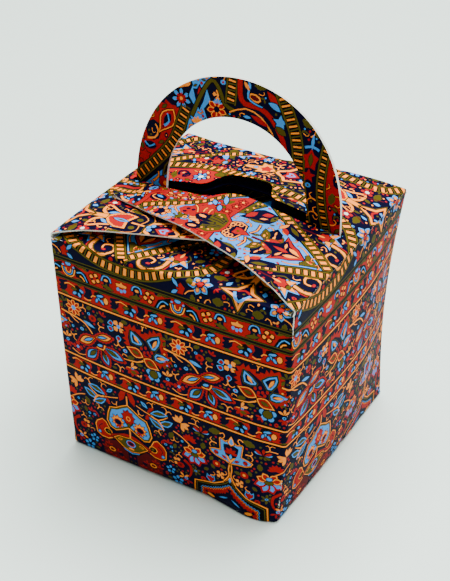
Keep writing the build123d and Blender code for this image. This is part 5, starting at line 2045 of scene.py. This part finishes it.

# Painted shade: a plain navy field with an olive rim round the left flap's slot, which the closing flap
# mostly hides, so that the slot looks dark beneath it
SLOT_SHADE_FIELD = [(-5, 1), (3, 6), (4.6, 16), (4.6, 74), (3, 84), (-5, 89), (-13, 84), (-14.6, 74)]
SLOT_SHADE_FIELD += [(-18, 66), (-20.6, 54), (-20.6, 36), (-18, 24), (-14.6, 16), (-13, 6)]
slot_shade_field = [(x - HALF_TOP, v) for x, v in SLOT_SHADE_FIELD]
print_shapes.append(("olive", grown(slot_shade_field, 0.5)))
print_shapes.append(("navy", slot_shade_field))


# The two pieces

carton_regions = [wall_outline(side, RIGHT_RIM_V if side == RIGHT else 0.0) for side in (LEFT, FRONT, RIGHT,
                                                                                         REAR)]
carton_regions += handle_flap_outlines(FRONT) + handle_flap_outlines(REAR)
carton_regions.append(slot_flap_outline(LEFT, left_path))
carton_regions.append(foot_outline(FRONT, HALF_BASE - BOTTOM_INSET, BASE_WIDTH - BOTTOM_INSET))
carton_regions.append(foot_outline(REAR, HALF_BASE - REAR_INSET, REAR_BOTTOM_DEPTH))
carton_regions += [foot_outline(side, HALF_BASE - BOTTOM_INSET, SIDE_FOOT_DEPTH) for side in (LEFT, RIGHT)]
carton = folded_sheet(
    "printed_carton",
    carton_place,
    carton_regions,
    [slot_outline(LEFT, left_path)],
    print_shapes,
    carton_bends(),
    "navy",
    worn_carton,
)
lid = folded_sheet(
    "printed_closing_flap",
    lid_place,
    [slot_flap_outline(RIGHT, lid_path)],
    [slot_outline(RIGHT, lid_path)],
    lid_shapes,
    lid_bends(),
    "navy",
    worn_lid,
)
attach(carton, "box")
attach(lid, "top_flap")
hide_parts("carton")
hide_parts("closing_flap")


# The plain floor, the light and the camera

FLOOR_COLOUR, FLOOR_ROUGHNESS, FLOOR_REACH = (0.69, 0.79, 0.73, 1), 0.45, 3.0
ROOM_COLOUR, ROOM_STRENGTH = (0.90, 0.96, 0.94, 1), 0.38
LAMP_AT, LAMP_SIZE, LAMP_POWER, LAMP_COLOUR = (0.1, 0.35, 1.5), 1.5, 92, (0.97, 1.0, 0.98)


def floor_material():
    def paint(tree, shader):
        shader.inputs["Base Color"].default_value = FLOOR_COLOUR
        shader.inputs["Roughness"].default_value = FLOOR_ROUGHNESS

    return card_material("floor_paint", paint)


floor_mesh = bpy.data.meshes.new("floor")
floor_corners = [(x * FLOOR_REACH, y * FLOOR_REACH, 0) for x, y in ((-1, -1), (1, -1), (1, 1), (-1, 1))]
floor_mesh.from_pydata(floor_corners, [], [(0, 1, 2, 3)])
floor_mesh.materials.append(floor_material())
floor_object = bpy.data.objects.new("floor", floor_mesh)
bpy.context.scene.collection.objects.link(floor_object)

world = bpy.data.worlds.new("soft_room")
world.use_nodes = True
world.node_tree.nodes["Background"].inputs["Color"].default_value = ROOM_COLOUR
world.node_tree.nodes["Background"].inputs["Strength"].default_value = ROOM_STRENGTH
bpy.context.scene.world = world


def area_light(name, at, towards, size, power, colour):
    light = bpy.data.lights.new(name, "AREA")
    light.shape, light.size, light.energy, light.color = "DISK", size, power, colour
    lamp = bpy.data.objects.new(name, light)
    lamp.location = at
    lamp.rotation_euler = (Vector(towards) - Vector(at)).to_track_quat("-Z", "Y").to_euler()
    bpy.context.scene.collection.objects.link(lamp)


area_light("ceiling_light", LAMP_AT, (0, 0, 0), LAMP_SIZE, LAMP_POWER, LAMP_COLOUR)

CAMERA_AT = (0.1634, -0.3084, 0.2883)
CAMERA_AZIMUTH, CAMERA_ELEVATION, CAMERA_ROLL = 28.37, 33.48, 1.31
PHOTO_WIDTH, FOCAL_PIXELS, SENSOR_MM = 450, 1170.9, 36.0


def camera_turn(azimuth, elevation, roll):
    """The camera's right, up and back directions as a turn."""
    a, e, r = radians(azimuth), radians(elevation), radians(roll)
    back = Vector((sin(a) * cos(e), -cos(a) * cos(e), sin(e)))
    right = Vector((0, 0, 1)).cross(back).normalized()
    up = back.cross(right)
    right, up = right * cos(r) + up * sin(r), up * cos(r) - right * sin(r)
    return Matrix((right, up, back)).transposed()


lens = bpy.data.cameras.new("photo_view")
lens.sensor_fit, lens.sensor_width = "HORIZONTAL", SENSOR_MM
lens.lens = FOCAL_PIXELS * SENSOR_MM / PHOTO_WIDTH
camera = bpy.data.objects.new("photo_view", lens)
camera.matrix_world = Matrix.Translation(CAMERA_AT) @ camera_turn(
    CAMERA_AZIMUTH, CAMERA_ELEVATION, CAMERA_ROLL
).to_4x4()
bpy.context.scene.collection.objects.link(camera)
bpy.context.scene.camera = camera
